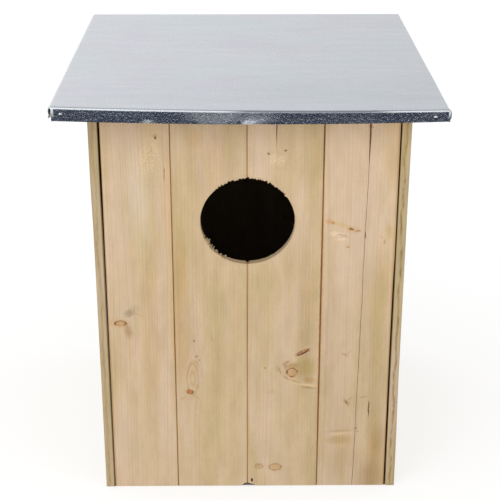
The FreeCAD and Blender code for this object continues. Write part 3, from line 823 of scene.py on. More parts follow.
def sheet_point(u, v, flat, past_side, past_end):
    """Where a point of the flat sheet, u across and v along it, comes to lie."""
    out_side, down_side = fold_over(past_side)
    out_end, down_end = fold_over(past_end)
    x = math.copysign(flat + out_side, u) if past_side > 0 else u
    front = v < ROOF_SIDE / 2
    along = v
    if past_end > 0:
        along = FOLD - out_end if front else ROOF_SIDE - FOLD + out_end
    down = down_side + down_end
    up = 0.3 * MM * wobble(x * 7, along * 7, 0, 1) * ease(0, 25 * MM, -max(past_side, past_end))
    if down_end > 0:
        x *= 1 + ease(SOFT_DOWN, FOLD_DROP, down_end) * (FOLD - SOFT_OUT - 0.4 * MM) / flat
        if front:
            x += 2.4 * MM * (1 - ease(-HALF, 40 * MM - HALF, x)) * ease(0, FOLD_DROP, down_end)
            out, lift = front_lip_shape(x, down_end)
            along -= out
            up += lift
    if down_side > 0:
        reach = ease(SOFT_DOWN, FOLD_DROP, down_side)
        near = 2 * along / ROOF_SIDE - 1
        along += near * (FOLD - SOFT_OUT - 0.3 * MM) * reach
        flare = corner_flare(u < 0, down_side) * (1 - ease(0, 13 * MM, along))
        flare += 0.3 * MM * wobble(0, along * 16, down_side * 40, 5) * ease(0, LIP, down_side)
        x += math.copysign(flare, u)
        up += 2.2 * MM * ease(0.55 * LIP, LIP, down_side) * (1 - ease(0, 9 * MM, along))
    place = on_roof(x, along, ROOF_TOP - down + up)
    return place + roof_bend(place)


# ---------------------------------------------------------------- boards

FOOT_DROP = 1.0 * MM
SAW_SIDES = 560
PICK_SIDES = 18


def front_gap(high, low):
    """Half of a seam's gap, wider at the top of the flap, in millimetres."""
    return lambda w: (low + (high - low) * ease(425 * MM, 505 * MM, w)) / 2 * MM


def crack_path(board):
    """A drying crack that is open at the flap's top and closes to a hairline."""
    top = Vector((149.9 * MM, 0, 520 * MM))
    foot = Vector((142.6 * MM, 0, 0))

    def crack(w):
        z = board.origin.z + w
        x = foot.x + (top.x - foot.x) * z / top.z
        x += 0.5 * MM * wobble(z * 22, 0, 0, 8) + 0.25 * MM * wobble(z * 90, 0, 0, 9)
        opening = ease(455 * MM, 512 * MM, z)
        half = 0.32 * MM + 1.05 * MM * opening + 0.12 * MM * wobble(z * 45, 0, 0, 10)
        return x - board.origin.x, half, 2.0 * MM + 4.8 * MM * opening
    return crack


def top_split(board):
    """A short split that runs down from the flap's top."""
    def crack(w):
        z = board.origin.z + w
        x = 33.5 * MM - board.origin.x + 0.4 * MM * wobble(z * 60, 0, 0, 11)
        opening = ease(480 * MM, 522 * MM, z)
        return x, 0.04 * MM + 0.8 * MM * opening, 0.05 * MM + 4.5 * MM * opening
    return crack


def broken_foot(board, corner_x, reach, height):
    """Raises the foot of a board near a corner where its wood has broken away."""
    def rise(a, d):
        x = board.origin.x + a
        share = max(0.0, 1 - abs(x - corner_x) / reach)
        ragged = 0.75 + 0.4 * wobble(a * 700, d * 500, 0, 12)
        return height * min(1.0, 1.8 * share) * ragged - FOOT_DROP
    return rise


def make_front_boards():
    boards = []
    for k in range(4):
        board = Board(f"front_board_{k + 1}", "flap", "pine_front", (X, Y, Z), k > 0, k < 3, 1.0 + k)
        board.arris = 1.0 * MM
        board.low_end = lambda a, d: -FOOT_DROP
        boards.append(board)
    gaps = ((0.6, 0.5), (0.25, 0.15), (1.8, 0.6))
    for left, right, (high, low) in zip(boards, boards[1:], gaps):
        gap = front_gap(high, low)
        left.gaps = (left.gaps[0], gap)
        right.gaps = (gap, right.gaps[1])
    boards[0].gaps = (lambda w: (ease(0, 500 * MM, w) - 1) * MM, boards[0].gaps[1])
    boards[3].gaps = (boards[3].gaps[0], lambda w: -(0.6 + 0.6 * ease(300 * MM, 345 * MM, w)) * MM)
    boards[3].crack = crack_path(boards[3])
    boards[2].crack = top_split(boards[2])
    seam_x = boards[2].origin.x
    boards[1].low_end = broken_foot(boards[1], seam_x, 8 * MM, 5.5 * MM)
    boards[2].low_end = broken_foot(boards[2], seam_x + 1 * MM, 11 * MM, 6.4 * MM)
    pieces = [board.build((make_front_wood(k, board), SAWN)) for k, board in enumerate(boards)]
    saw_entrance(pieces[1:3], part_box("front_board_2")[0].y)
    pick_out(pieces[2], Vector((3.0 * MM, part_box("front_board_3")[0].y, 9.5 * MM)))


def hole_radius(turn, depth):
    """Distance from the entrance's middle to its sawn edge. Angles run from +X towards +Z."""
    c = math.cos(turn)
    s = math.sin(turn)
    angle = math.degrees(turn) % 360
    radius = 1 / math.hypot(c / HOLE_WIDE, s / HOLE_HIGH)
    radius += 0.45 * MM * wobble(c * 2.3, s * 2.3, depth * 9, 4)
    radius += 0.42 * MM * wobble(c * 44, s * 44, depth * 25, 3)
    # The upper edge is torn, with two notches and a tooth.
    torn = ease(28, 38, angle) - ease(125, 150, angle)
    radius += 2.4 * MM * torn * wobble(c * 33, s * 33, depth * 12, 6)
    radius += 1.9 * MM * bell(angle, 90, 1.3) + 1.5 * MM * bell(angle, 66, 1.6)
    radius -= 1.9 * MM * bell(angle, 35.3, 0.9)
    # The lower left edge is chipped, most of all behind.
    rear = ease(5 * MM, 11 * MM, depth)
    chips = ease(196, 206, angle) - ease(236, 246, angle)
    radius += rear * chips * 6 * MM * wobble(c * 26, s * 26, depth * 90, 7)
    splinters = max(0.0, wobble(c * 36, s * 36, depth * 60, 16))
    radius -= chips * 5 * MM * splinters * ease(0.5 * MM, 3 * MM, depth)
    radius += chips * 1.5 * MM * wobble(c * 30, s * 30, 0, 18)
    # A nick lies at the foot, and both rims are broken.
    radius += 2.2 * MM * bell(angle, 270, 1.6) * ease(0, 3 * MM, depth)
    radius += 0.35 * MM * (1 - ease(0, 0.9 * MM, depth)) + 0.3 * MM * ease(11.3 * MM, 12 * MM, depth)
    return radius


def saw_entrance(pieces, face_y):
    """Cuts the entrance. The depths are in millimetres behind the boards' face."""
    depths = (-4, -0.1, 0.25, 0.6, 1.0, 2.2, 3.8, 5.4, 7.0, 8.4, 9.6, 10.6, 11.4, 11.9, 12.3, 16)
    turns = [2 * math.pi * k / SAW_SIDES for k in range(SAW_SIDES)]
    rings = []
    for depth in depths:
        inside = min(12.0, max(0.0, depth)) * MM
        ring = []
        for turn in turns:
            radius = hole_radius(turn, inside)
            x = HOLE_CENTRE.x + radius * math.cos(turn)
            z = HOLE_CENTRE.z + radius * math.sin(turn)
            ring.append(Vector((x, face_y + depth * MM, z)))
        rings.append(ring)
    cut_out(pieces, rings)


def pick_out(piece, centre):
    """A small ragged hole through a board, where a bit of knot has fallen out."""
    rings = []
    for depth in (-3, 0.5, 3, 6, 9, 16):
        ring = []
        for k in range(PICK_SIDES):
            turn = 2 * math.pi * k / PICK_SIDES
            radius = 1 + 0.35 * wobble(math.cos(turn) * 2, math.sin(turn) * 2, depth * 0.2, 13)
            offset = Vector((1.7 * MM * math.cos(turn), depth * MM, 3.2 * MM * math.sin(turn)))
            ring.append(centre + Vector((offset.x * radius, offset.y, offset.z * radius)))
        rings.append(ring)
    cut_out([piece], rings)


def make_walls():
    made = {}
    for side, axes, seed in (("left", (-Y, X, Z), 10), ("right", (Y, -X, Z), 20)):
        for k in range(1, 6):
            groove, tongue = (k < 5, k > 1) if side == "left" else (k > 1, k < 5)
            board = Board(f"{side}_side_board_{k}", "box", "pine_wall", axes, groove, tongue, seed + k,
                          SIDE_STEPS)
            made[board.node] = wall_board(board, k == 1, side)
    for k in range(1, 5):
        board = Board(f"back_board_{k}", "box", "pine_wall", (-X, -Y, Z), k > 1, k < 4, 30 + k, COARSE)
        made[board.node] = wall_board(board, False, "back")
    return made


def lean(side):
    """Lets the front edges of the side walls stand a little off square."""
    def shift(place):
        if side == "left":
            aside = 0.8 * (1 - ease(370 * MM, 450 * MM, place.z))
        else:
            aside = 0.8 * ease(390 * MM, 520 * MM, place.z) + 1.0 * (1 - ease(40 * MM, 190 * MM, place.z))
        return X * aside * MM * (1 - ease(-195 * MM, -110 * MM, place.y))
    return shift


def wall_board(board, is_front, side):
    board.high_end = under_roof(board)

    def seam(w):
        return (0.22 + 0.12 * wobble(w * 3, board.seed, 0, 14)) * MM

    board.gaps = (seam if board.groove else lambda w: 0.0, seam if board.tongue else lambda w: 0.0)
    woods = BACK_WOODS if side == "back" else SIDE_WOODS
    wood = woods[board.seed % len(woods)]
    if not is_front:
        return board.build((wood, SAWN))
    board.ring_step = 4 * MM
    board.arris = 0.4 * MM
    board.bend = lean(side)
    piece = board.build((wood, SAWN, STRIP_WOOD[side]))
    for face in piece.data.polygons:
        if (piece.matrix_world.to_3x3() @ face.normal).y < -0.5:
            face.material_index = 2
    return piece


def make_floor():
    made = {}
    for k in range(1, 6):
        board = Board(f"floor_board_{k}", "box", "pine_rough", (Y, Z, X), k > 1, k < 5, 40.0 + k, COARSE)
        made[board.node] = board.build((ROUGH_WOOD, SAWN))
    return made


def make_deck():
    play = 1.5 * MM
    inside = HALF - SHEET - play
    for k in range(5):
        # The front board is set back, and short on the left where the sheet's corner is open.
        start = SHEET + COVER * k + (0 if k else play)
        end = min(SHEET + COVER * (k + 1) + TONGUE, ROOF_SIDE - SHEET)
        left = inside if k else inside - 0.9 * MM
        corners = on_roof(-left, start, 0), on_roof(inside, end, THICK)
        board = Board(f"deck_board_{k + 1}", "box", "pine_rough", (UP_SLOPE, ROOF_NORMAL, X), k > 0, k < 4,
                      50.0 + k, COARSE, corners)
        board.cup = 0.0
        board.arris = 1.5 * MM
        board.bend = roof_bend
        # The deck boards' ends get painted shade, as dark as the gap under the sheet's folded corners.
        board.build((ROUGH_WOOD, DECK_ENDS_PAINTED_SHADE))


def drill_holes(made):
    """The drain holes, the holes for the fixing screws and the countersunk holes for the pivot screws."""
    before, through = -5 * MM, THICK + 5 * MM
    for node in ("floor_board_2", "floor_board_4"):
        low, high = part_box(node)
        middle = (low.y + high.y - TONGUE) / 2
        for side in (-1, 1):
            spot = Vector((side * DRAIN_X, middle, 0))
            drill(made[node], spot, Z, ((before, DRAIN_RADIUS), (through, DRAIN_RADIUS)))
    for node, side in (("back_board_1", 1), ("back_board_4", -1)):
        for z in FIXING_HEIGHTS:
            spot = Vector((side * FIXING_X, DECK_BACK.y, z))
            drill(made[node], spot, -Y, ((before, FIXING_RADIUS), (through, FIXING_RADIUS)))
    hinge = Vector(frame["joints"][0]["pos_m"])
    for node, side in (("left_side_board_1", -1), ("right_side_board_1", 1)):
        spot = Vector((side * WALL_X, hinge.y, hinge.z))
        head = ((before, PIVOT_HEAD - before), (0, PIVOT_HEAD))
        drill(made[node], spot, X * -side, (*head, (PIVOT_SINK, PIVOT_HOLE), (through, PIVOT_HOLE)))


# ---------------------------------------------------------------- woods

def knot(x, z, radius, stretch, turn, pull, core, rim, halo):
    """A knot as make_pine takes it."""
    return (x, z), radius, stretch, turn, pull, core, rim, halo


# A stain is its place (across, up), its half sizes and its tint, then make_stain's turn, strength, core and
# broken, where they differ from the defaults. Places and sizes are in millimetres of the row frame.
FRONT_STAINS_1 = (
    ((-158, 264), (10, 8), (0.50, 0.52, 0.48), 20, 0.95, 0.1, 0.5),
    ((-150, 270), (12, 10), (0.80, 0.82, 0.78), 0, 0.9, 0.1, 0.7),
    ((-160, 238), (8, 16), (0.70, 0.62, 0.46), 10, 0.95, 0.1, 0.3),
    ((-163.5, 249), (4, 4.5), (0.66, 0.58, 0.42), 0, 0.9, 0.2),
    ((-177, 248), (3, 4), (0.80, 0.66, 0.50), 0, 0.9, 0.2),
    ((-146, 262), (13, 3), (0.86, 0.80, 0.70), -24, 0.8, 0.1, 0.5),
    ((-181, 252), (6, 10), (1.0, 0.90, 0.84), 0, 0.9, 0.1),
    ((-124, 478), (17, 34), (1.17, 1.19, 1.24), 0, 1.0, 0.3, 0.95),
    ((-140, 436), (34, 110), (1.03, 1.08, 1.20), 0, 1.0, 0.1),
    ((-139, 390), (15, 110), (1.06, 1.09, 1.14), 0, 1.0, 0.1),
    ((-128, 222), (22, 110), (0.94, 0.90, 0.84), 0, 1.0, 0.1),
    ((-127, 312), (22, 60), (0.97, 0.95, 0.88), 0, 0.9, 0.1),
    ((-117.1, 501.1), (2.3, 2.5), (0.30, 0.16, 0.09)),
    ((-117.5, 504), (4.5, 3.5), (0.82, 0.66, 0.50), 0, 0.8, 0.2, 0.4),
    ((-107, 455), (0.9, 15), (0.62, 0.50, 0.38)),
    ((-101, 300), (6, 230), (0.96, 0.89, 0.78), 0, 0.9, 0.1),
)

FRONT_STAINS_2 = (
    ((-73.7, 223.6), (1.9, 2.1), (0.50, 0.40, 0.24)),
    ((-70.8, 200.8), (3.4, 1.8), (0.72, 0.62, 0.48)),
    ((-67.0, 195.5), (1.4, 1.7), (0.66, 0.52, 0.36)),
    ((-73, 181), (7, 18), (1.0, 0.92, 0.78), 0, 0.9, 0.2),
    ((-71, 156), (7, 5), (0.98, 0.92, 0.66), 0, 0.8, 0.2),
    ((-80, 138), (8, 4), (0.90, 0.86, 0.84), 0, 0.8, 0.2),
    ((-92, 280), (7, 150), (0.99, 0.91, 0.80), 0, 0.8, 0.1),
    ((-86, 216), (18, 130), (0.93, 0.88, 0.79), 0, 1.0, 0.1),
    ((-82, 436), (18, 90), (1.05, 1.05, 1.05), 0, 1.0, 0.1),
    ((-50, 228), (2.0, 9), (0.88, 0.84, 0.72), 12, 0.7),
    ((-68, 500), (14, 18), (1.0, 0.90, 0.78), 0, 0.9, 0.1, 0.4),
    ((-86, 330), (10, 70), (1.02, 0.93, 0.80), 0, 0.8, 0.1),
    ((-81.8, 179), (19, 0.9), (0.80, 0.67, 0.50), 74, 0.9, 0.3, 0.4),
    ((-70.5, 191.5), (8.5, 0.9), (0.78, 0.65, 0.48), -52, 0.9, 0.3, 0.3),
    ((-64.5, 176), (10, 0.8), (0.84, 0.74, 0.58), -84, 0.8, 0.3, 0.4),
    ((-89, 139), (9, 1.0), (0.82, 0.70, 0.54), 28, 0.8),
    ((-72, 140), (9, 1.0), (0.82, 0.72, 0.56), -32, 0.8),
)

FRONT_STAINS_3 = (
    ((71.5, 207.0), (12.5, 4.2), (0.42, 0.25, 0.15), 27, 0.95, 0.5, 0.4),
    ((72.0, 205.6), (11, 1.3), (0.34, 0.22, 0.14), 30, 0.9, 0.4),
    ((71.5, 208.2), (8, 0.9), (1.9, 1.7, 1.5), 28, 0.9, 0.4),
    ((64.0, 203.5), (7, 4.4), (0.80, 0.58, 0.46), 27, 0.9, 0.2, 0.4),
    ((77, 203), (9, 1.6), (0.86, 0.84, 0.76), 27, 0.7),
    ((74, 212.5), (9, 1.5), (1.22, 1.16, 1.08), 27, 0.9),
    ((20.5, 183.4), (1.9, 1.9), (0.42, 0.36, 0.22)),
    ((49.5, 191.5), (9, 2.6), (0.62, 0.50, 0.34), 35, 0.9, 0.2, 0.4),
    ((57, 187), (12, 7), (0.70, 0.62, 0.42), 10, 0.95, 0.2, 0.3),
    ((47, 186), (3, 8), (0.74, 0.62, 0.46), 24, 0.9, 0.2, 0.4),
    ((38.5, 182), (5, 9), (0.88, 0.82, 0.66), 20, 0.8, 0.1),
    ((76, 184), (19, 24), (0.80, 0.79, 0.56), 0, 0.95, 0.2),
    ((40, 179), (8, 1.5), (0.72, 0.64, 0.46), -65, 0.9, 0.2, 0.3),
    ((48.5, 168.5), (9, 1.6), (0.70, 0.60, 0.42), -38, 0.9, 0.2, 0.3),
    ((60, 163.5), (9, 1.6), (0.74, 0.62, 0.44), -22, 0.9, 0.2, 0.3),
    ((62, 160), (11, 1.7), (1.16, 1.12, 1.06), -24, 0.9, 0.2, 0.3),
    ((77, 158), (17, 1.9), (1.30, 1.27, 1.22), -8, 1.0, 0.3),
    ((79, 153.5), (15, 1.9), (0.74, 0.64, 0.44), -8, 0.9, 0.2),
    ((80, 165), (12, 6), (0.86, 0.76, 0.56), -8, 0.9, 0.2),
    ((30.1, 147.3), (9, 6), (0.94, 0.88, 0.76), 0, 0.7),
    ((84, 300), (9, 80), (0.94, 0.95, 0.82), 0, 0.9, 0.1),
    ((74, 235), (17, 150), (0.90, 0.88, 0.84), 0, 1.0, 0.1),
    ((23.4, 480.5), (2.4, 2.0), (0.40, 0.26, 0.16)),
    ((44.8, 484.5), (2.4, 2.0), (0.42, 0.28, 0.18)),
    ((31, 474), (10, 9), (1.18, 1.20, 1.22), 30, 1.0, 0.3, 0.8),
    ((40, 471), (7, 12), (1.16, 1.18, 1.20), -30, 1.0, 0.3, 0.8),
    ((33.5, 455), (8, 8), (1.06, 1.08, 1.08), 0, 0.9, 0.1),
    ((33, 492), (5, 20), (1.05, 1.03, 1.0), 0, 0.9, 0.1),
    ((84, 470), (9, 50), (0.93, 0.90, 0.76), 0, 0.9, 0.1),
    ((92.2, 250), (1.7, 290), (0.76, 0.60, 0.42), 0, 0.9, 0.3),
    ((35.1, 31), (8.5, 5.5), (1.03, 0.96, 0.88), 0, 0.8, 0.6),
    ((12.5, 33.5), (4, 1.2), (0.66, 0.44, 0.32), 12, 0.9),
)

FRONT_STAINS_4 = (
    ((101, 391), (7.5, 6.5), (0.98, 0.74, 0.56), 0, 0.9, 0.1),
    ((106, 389), (3.6, 2.8), (0.78, 0.56, 0.38), -20, 0.8),
    ((118, 386), (22, 5), (0.96, 0.89, 0.72), -16, 0.8, 0.2),
    ((131, 379.5), (12, 7), (0.98, 0.82, 0.60), 0, 0.8, 0.1),
    ((130.0, 380.6), (5.2, 2.1), (0.42, 0.28, 0.14), -14, 0.95),
    ((138.5, 378), (5.5, 2.2), (0.66, 0.48, 0.28), 8, 0.8),
    ((118, 372.5), (11, 1.5), (0.74, 0.68, 0.66), -9, 0.8),
    ((110, 374), (13, 5), (1.24, 1.32, 1.42), -5, 1.0, 0.3, 0.7),
    ((116, 367), (13, 3), (1.20, 1.26, 1.32), 6, 1.0, 0.2, 0.7),
    ((168, 305), (24, 95), (0.97, 0.96, 0.87), 0, 1.0, 0.1),
    ((122, 369.8), (7, 1.2), (0.80, 0.74, 0.72), -9, 0.8),
    ((126.1, 356.2), (2.6, 1.2), (0.62, 0.40, 0.30)),
    ((126.5, 358), (6, 6), (0.98, 0.88, 0.78), 0, 0.8, 0.1),
    ((173.0, 363), (2.2, 4.6), (0.72, 0.58, 0.52), 0, 0.8),
    ((170, 369), (9, 2.4), (0.94, 0.90, 0.86), -30, 0.8),
    ((178, 376), (7, 18), (0.92, 0.88, 0.66), 8, 0.9, 0.2),
    ((147.8, 372), (1.4, 7), (0.44, 0.30, 0.18), 0, 1.0),
    ((161.3, 121), (1.1, 15.5), (0.34, 0.20, 0.13), 0, 1.0, 0.6),
    ((154, 139), (8, 1.6), (0.76, 0.60, 0.46), 12, 0.9, 0.2, 0.4),
    ((131, 131), (7.5, 3.6), (0.66, 0.48, 0.33), -35, 0.95, 0.1, 0.4),
    ((131, 130), (2.4, 11), (0.74, 0.58, 0.40), 25, 0.9, 0.1, 0.4),
    ((136, 137), (9, 1.2), (0.78, 0.64, 0.48), 38, 0.9, 0.1, 0.4),
    ((127, 202.5), (7, 2.8), (0.76, 0.58, 0.42), -20, 0.95, 0.1, 0.4),
    ((132, 206), (7, 1.2), (0.82, 0.70, 0.56), 30, 0.9, 0.1, 0.4),
    ((93.5, 250), (1.9, 290), (0.76, 0.60, 0.42), 0, 0.9, 0.3),
    ((168, 190), (12, 60), (0.95, 0.93, 0.80), 0, 0.9, 0.1),
    ((172, 70), (17, 75), (0.86, 0.80, 0.66), 0, 0.95, 0.1),
    ((130, 45), (34, 50), (0.95, 0.91, 0.82), 0, 0.9, 0.1),
    ((144.7, 91.4), (2.2, 2.4), (0.66, 0.42, 0.32), 20, 0.9),
    ((147.5, 86), (2.0, 1.6), (0.74, 0.58, 0.46)),
    ((124, 87), (26, 3.0), (0.86, 0.78, 0.64), 3, 0.8, 0.2, 0.4),
    ((124, 83), (24, 3.2), (1.13, 1.11, 1.06), 4, 0.9),
    ((122, 73), (24, 10), (0.86, 0.81, 0.64), 4, 0.95, 0.2),
    ((172, 60), (10, 30), (0.96, 0.90, 0.80), 0, 0.9, 0.1),
    ((168, 12), (24, 46), (0.79, 0.72, 0.60), 0, 0.95, 0.2),
    ((169, 260), (14, 120), (0.95, 0.94, 0.82), 0, 0.9, 0.1),
    ((162, 235), (26, 170), (0.95, 0.95, 0.93), 0, 1.0, 0.1),
    ((106, 250), (15, 190), (0.94, 0.92, 0.88), 0, 1.0, 0.1),
)

# Each painted_light_fall ramp paints light and shade up the flap's height. It is mostly lighter near the top,
# where the roof shades it, and darker towards the foot.
FRONT_LOOKS = (
    dict(stains=FRONT_STAINS_1, warm=0.03, gap=3.8, contrast=0.55,
         knots=(knot(-170, 249.5, 7.2, 0.52, 0, 0.7, (1.0, 0.88, 0.70), 0.95, 0.5),),
         painted_light_fall=((0.0, 0.98), (0.45, 0.98), (0.75, 1.02), (1.0, 1.03))),
    dict(stains=FRONT_STAINS_2, warm=-0.04, gap=4.0, contrast=0.45,
         knots=(knot(-80.6, 148.0, 4.2, 0.78, 10, 1.0, (0.90, 0.56, 0.32), 1.0, 0.6),
                knot(-76.5, 168, 8.5, 3.2, 0, 1.0, (1.0, 0.98, 0.93), 0.05, 0.0)),
         painted_light_fall=((0.0, 0.98), (0.4, 0.96), (0.8, 1.0), (1.0, 0.98))),
    dict(stains=FRONT_STAINS_3, warm=0.0, gap=4.2, contrast=0.45,
         knots=(knot(56.6, 176.6, 6.8, 0.92, 20, 1.0, (1.0, 0.90, 0.78), 1.0, 0.6),
                knot(35.1, 30.4, 8.3, 0.62, 0, 0.8, (1.0, 0.95, 0.84), 0.50, 0.20),
                knot(13.0, 32.1, 5.0, 0.8, 0, 0.8, (1.0, 0.94, 0.84), 0.45, 0.20)),
         painted_light_fall=((0.0, 0.95), (0.4, 0.96), (0.7, 1.0), (0.9, 1.03), (1.0, 1.04))),
    dict(stains=FRONT_STAINS_4, warm=0.02, gap=4.4, contrast=0.40,
         painted_light_fall=((0.0, 0.90), (0.35, 0.93), (0.6, 0.98), (0.85, 1.05), (1.0, 1.10))),
)


def make_front_wood(k, board):
    corner = board.origin.x / MM, board.origin.z / MM
    return make_pine(f"pine_front_{k + 1}", wide=board.width, corner=corner, **FRONT_LOOKS[k])


def make_wall_woods(wall, rise):
    """Looks for a wall's boards. A knot is (across, along less the rise, radius, stretch) in millimetres."""
    plans = (
        ((32, 118, 6.0, 0.80), (66, 402, 4.2, 0.70)),
        ((58, 262, 7.0, 0.85), (24, 478, 4.0, 0.70)),
        ((40, 348, 5.2, 0.75), (73, 58, 6.4, 0.80), (30, 190, 2.6, 0.90)),
        ((68, 216, 5.6, 0.80), (22, 330, 3.0, 0.90)),
        ((36, 436, 6.6, 0.80), (62, 150, 3.4, 0.80)),
    )
    woods = []
    for k, plan in enumerate(plans):
        turn = 12 * (-1) ** k
        knots = [knot(*spot, turn, 1.0, (0.94, 0.72, 0.50), 0.9, 0.6) for spot in plan]
        warm = 0.03 * (k % 3) - 0.05
        gap = 3.2 + 0.3 * k
        woods.append(make_pine(f"pine_{wall}_{k + 1}", light=0.96, warm=warm, gap=gap, contrast=0.75,
                               corner=(0, -rise), knots=knots))
    return woods


SIDE_WOODS = make_wall_woods("side", 0)
BACK_WOODS = make_wall_woods("back", 57)
ROUGH_WOOD = make_pine("pine_rough", light=0.94, gap=3.2, contrast=0.5, sawn=0.35)
# Sawn faces are paler wood, and light 1.6 makes them paler still. This is partly their own colour and partly
# painted light on the entrance's lower sawn edge and the other cut faces.
SAWN = make_pine("pine_sawn", light=1.6, gap=2.6, contrast=0.4, sawn=0.6)
# Painted light and shade on the side walls' front edges: darker at the foot and lighter near the top, most of
# all on the right.
STRIP_PAINTED_SHADE_FOOT = (0.0, (0.93, 0.94, 0.92))
LEFT_PAINTED_LIGHT = (STRIP_PAINTED_SHADE_FOOT, (0.7, (0.93, 0.96, 0.94)), (1.0, (0.96, 0.98, 0.98)))
RIGHT_PAINTED_LIGHT = (STRIP_PAINTED_SHADE_FOOT, (0.82, (0.94, 0.97, 0.94)), (0.92, (1.14, 1.16, 1.14)))
STRIP_WOOD = {
    side: make_pine(f"pine_{side}_strip", light=light, warm=warm, gap=3.0, contrast=0.7, vein=vein, painted_light_fall=painted_light_fall)
    for side, light, warm, vein, painted_light_fall in (("left", 0.88, -0.06, 0.4, LEFT_PAINTED_LIGHT),
                                          ("right", 0.90, -0.08, 0.95, RIGHT_PAINTED_LIGHT))
}
# Painted shade: the deck boards' ends are made nearly black.
DECK_ENDS_PAINTED_SHADE = make_pine("pine_deck_ends_painted_shade", light=0.15, gap=2.6, contrast=0.5, sawn=0.6)
BATTEN_WOOD = {
    way: make_pine(f"pine_batten_{way.lower()}", order=order, light=0.94, gap=3.2, contrast=0.5, sawn=0.4)
    for way, order in (("X", "YZX"), ("Y", "XZY"))
}
ZINC = make_zinc("galvanised_sheet")
NAIL_STEEL = make_steel("nail_steel", srgb(205, 206, 208), 0.22)
SCREW_STEEL = make_steel("screw_steel", srgb(212, 206, 186), 0.20)


# ---------------------------------------------------------------- CAD nodes that stay

def soften(node, material, width):
    """Gives a CAD node a material and rounds its sharp edges."""
    piece = frame["nodes"][node]
    piece.data.materials.clear()
    piece.data.materials.append(material)
    weld = piece.modifiers.new("weld", "WELD")
    weld.merge_threshold = 0.01 * MM
    bevel = piece.modifiers.new("bevel", "BEVEL")
    bevel.width = width
    bevel.segments = 2
    bevel.limit_method = "ANGLE"
    bevel.angle_limit = math.radians(40)
    bevel.harden_normals = True


def finish_cad_nodes():
    for node, grain in (("flap_top_batten", "X"), ("flap_bottom_batten", "X"), ("back_top_batten", "X"),
                        ("back_bottom_batten", "X"), ("left_floor_bearer", "Y"), ("right_floor_bearer", "Y"),
                        ("left_top_batten", "Y"), ("right_top_batten", "Y")):
        soften(node, BATTEN_WOOD[grain], 0.8 * MM)
    for node in ("flap_nails", "side_nails", "back_nails", "corner_nails", "floor_nails"):
        soften(node, NAIL_STEEL, 0.22 * MM)
    soften("pivot_screws", SCREW_STEEL, 0.15 * MM)


# ---------------------------------------------------------------- roof nails

SHANK = 1.1 * MM


def lathe(bm, start, axis, profile, count):
    """A closed turned shape. The profile is pairs of a distance along the axis and a radius."""
    loops = []
    for at, radius in profile:
        centre = start + axis * at
        points = round_ring(centre, axis, radius, count) if radius else [centre]
        loops.append([bm.verts.new(point) for point in points])
    bridge(bm, loops)


def make_roof_nails():
    """Clout nails through the lips, each driven a little out of square."""
    bm = bmesh.new()
    head = 2.5 * MM
    dome = 1.7 * MM
    height = ROOF_TOP - 9 * MM
    profile = [(-dome * math.cos(t), head * math.sin(t)) for t in spread(0, math.radians(80), 5)]
    profile += [(-0.1 * MM, head), (0.05 * MM, 2.3 * MM), (0.05 * MM, SHANK)]
    profile += [(17 * MM, SHANK), (20 * MM, 0.0)]
    spots = [((14 * MM - HALF, 0, height), UP_SLOPE), ((HALF - 18 * MM, 0, height), UP_SLOPE)]
    for side in (-1, 1):
        for along in (60 * MM, ROOF_SIDE - 60 * MM):
            spots.append(((side * HALF, along, height), X * -side))
    for k, (spot, way) in enumerate(spots):
        tilt = Vector([wobble(k, y, 0, 15) for y in (0.3, 5.2, 9.1)]) * 0.16
        start = on_roof(*spot)
        lathe(bm, start + roof_bend(start), (way + tilt).normalized(), profile, 20)
    settle(add_object(bm, "roof_nails_clout", (NAIL_STEEL,)), "roof_nails", "box")


def nail_middles(node):
    """Where a CAD node's nails stand on the roof, as (across, along) places."""
    places = []
    nails = frame["nodes"][node]
    for vertex in nails.data.vertices:
        place = nails.matrix_world @ vertex.co - ROOF_ORIGIN
        spot = Vector((place.x, place.dot(UP_SLOPE)))
        near = [group for group in places if (group[0] - spot).length < 8 * MM]
        if near:
            near[0].append(spot)
        else:
            places.append([spot])
    return [[(min(spot[k] for spot in group) + max(spot[k] for spot in group)) / 2 for k in (0, 1)]
            for group in places]


def make_deck_nails():
    """Nails from the deck's bent top down into the walls."""
    bm = bmesh.new()
    profile = [(0.3 * MM, 0.0), (0.3 * MM, 2.1 * MM), (0.5 * MM, 2.4 * MM), (1.3 * MM, 2.4 * MM)]
    profile += [(1.5 * MM, SHANK), (37 * MM, SHANK), (40 * MM, 0.0)]
    for x, along in nail_middles("deck_nails"):
        start = on_roof(x, along, THICK)
        lathe(bm, start + roof_bend(start), -ROOF_NORMAL, profile, 14)
    settle(add_object(bm, "deck_nails_driven", (NAIL_STEEL,)), "deck_nails", "box")


# ---------------------------------------------------------------- studio

FLOOR_GREY = 0.38
FLOOR_GLOW = 0.62
SKY_STRENGTH = 1.2
HORIZON_DARK = (0.013, 0.025, 0.050)
FOCAL_LENGTH = 82.152
SENSOR = 36
CAMERA_PLACE = (-0.0114, -1.5673, 0.8779)
CAMERA_TILT = math.radians(68.98)
CAMERA_TURN = math.radians(-0.492)


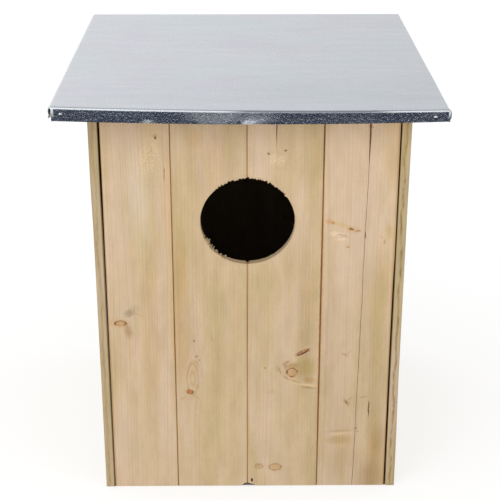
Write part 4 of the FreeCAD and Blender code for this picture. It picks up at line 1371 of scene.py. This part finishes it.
def make_floor_plane():
    """A pale floor that glows a little, except under the box."""
    bm = bmesh.new()
    bmesh.ops.create_grid(bm, x_segments=2, y_segments=2, size=30)
    material, tree, shader = new_material("studio_floor")
    shader.inputs["Base Color"].default_value = (FLOOR_GREY, FLOOR_GREY, FLOOR_GREY, 1)
    shader.inputs["Emission Color"].default_value = (0.99, 1.0, 1.0, 1)
    x, y, _ = tree.split(tree.node("ShaderNodeTexCoord").outputs["Object"])
    beside = tree.span(tree.size(x), 198 * MM, 199.5 * MM)
    behind = tree.span(tree.size(tree.minus(y, 20 * MM)), 217 * MM, 219 * MM)
    clear = tree.math("MAXIMUM", beside, behind)
    tree.feed(shader.inputs["Emission Strength"], tree.times(clear, FLOOR_GLOW))
    shader.inputs["Roughness"].default_value = 0.9
    shader.inputs["Specular IOR Level"].default_value = 0.1
    floor = add_object(bm, "studio_floor", (material,))
    floor.visible_glossy = False


def make_sky():
    """Even white light from above the horizon, weaker behind, most of all in a band high up; dark below."""
    world = bpy.data.worlds.new("studio")
    bpy.context.scene.world = world
    world.use_nodes = True
    tree = Tree(world.node_tree)
    direction = tree.node("ShaderNodeTexCoord").outputs["Generated"]
    x, y, z = tree.split(direction)
    above = tree.span(z, -0.11, -0.03)
    behind = tree.times(tree.span(y, 0.2, 0.6), tree.span(z, 0.07, 0.15))
    band = tree.minus(tree.span(z, 0.56, 0.66), tree.span(z, 0.84, 0.96))
    dimmer = tree.times_add(band, 0.5, tree.times_add(x, 0.30, 0.22))
    light = tree.minus(0.98, tree.times(behind, dimmer))
    background = world.node_tree.nodes["Background"]
    tree.feed(background.inputs["Color"], tree.mix(above, HORIZON_DARK, tree.grey(light)))
    background.inputs["Strength"].default_value = SKY_STRENGTH


def add_softbox(name, place, target, size, power):
    data = bpy.data.lights.new(name, "AREA")
    data.shape = "RECTANGLE"
    data.size, data.size_y = size
    data.energy = power
    light = bpy.data.objects.new(name, data)
    light.location = place
    light.rotation_euler = (Vector(target) - Vector(place)).to_track_quat("-Z", "Y").to_euler()
    bpy.context.scene.collection.objects.link(light)


def make_camera():
    data = bpy.data.cameras.new("camera")
    data.lens = FOCAL_LENGTH
    data.sensor_width = SENSOR
    camera = bpy.data.objects.new("camera", data)
    camera.location = CAMERA_PLACE
    camera.rotation_euler = (CAMERA_TILT, 0, CAMERA_TURN)
    bpy.context.scene.collection.objects.link(camera)
    bpy.context.scene.camera = camera


make_front_boards()
walls = make_walls()
floors = make_floor()
make_deck()
drill_holes({**walls, **floors})
make_sheet(ZINC)
make_roof_nails()
make_deck_nails()
finish_cad_nodes()

make_floor_plane()
make_sky()
add_softbox("key", (-1.6, -2.2, 2.4), (0, -0.1, 0.3), (1.6, 1.6), 14)
make_camera()
bpy.context.scene.view_settings.view_transform = "Standard"

bpy.context.view_layer.update()
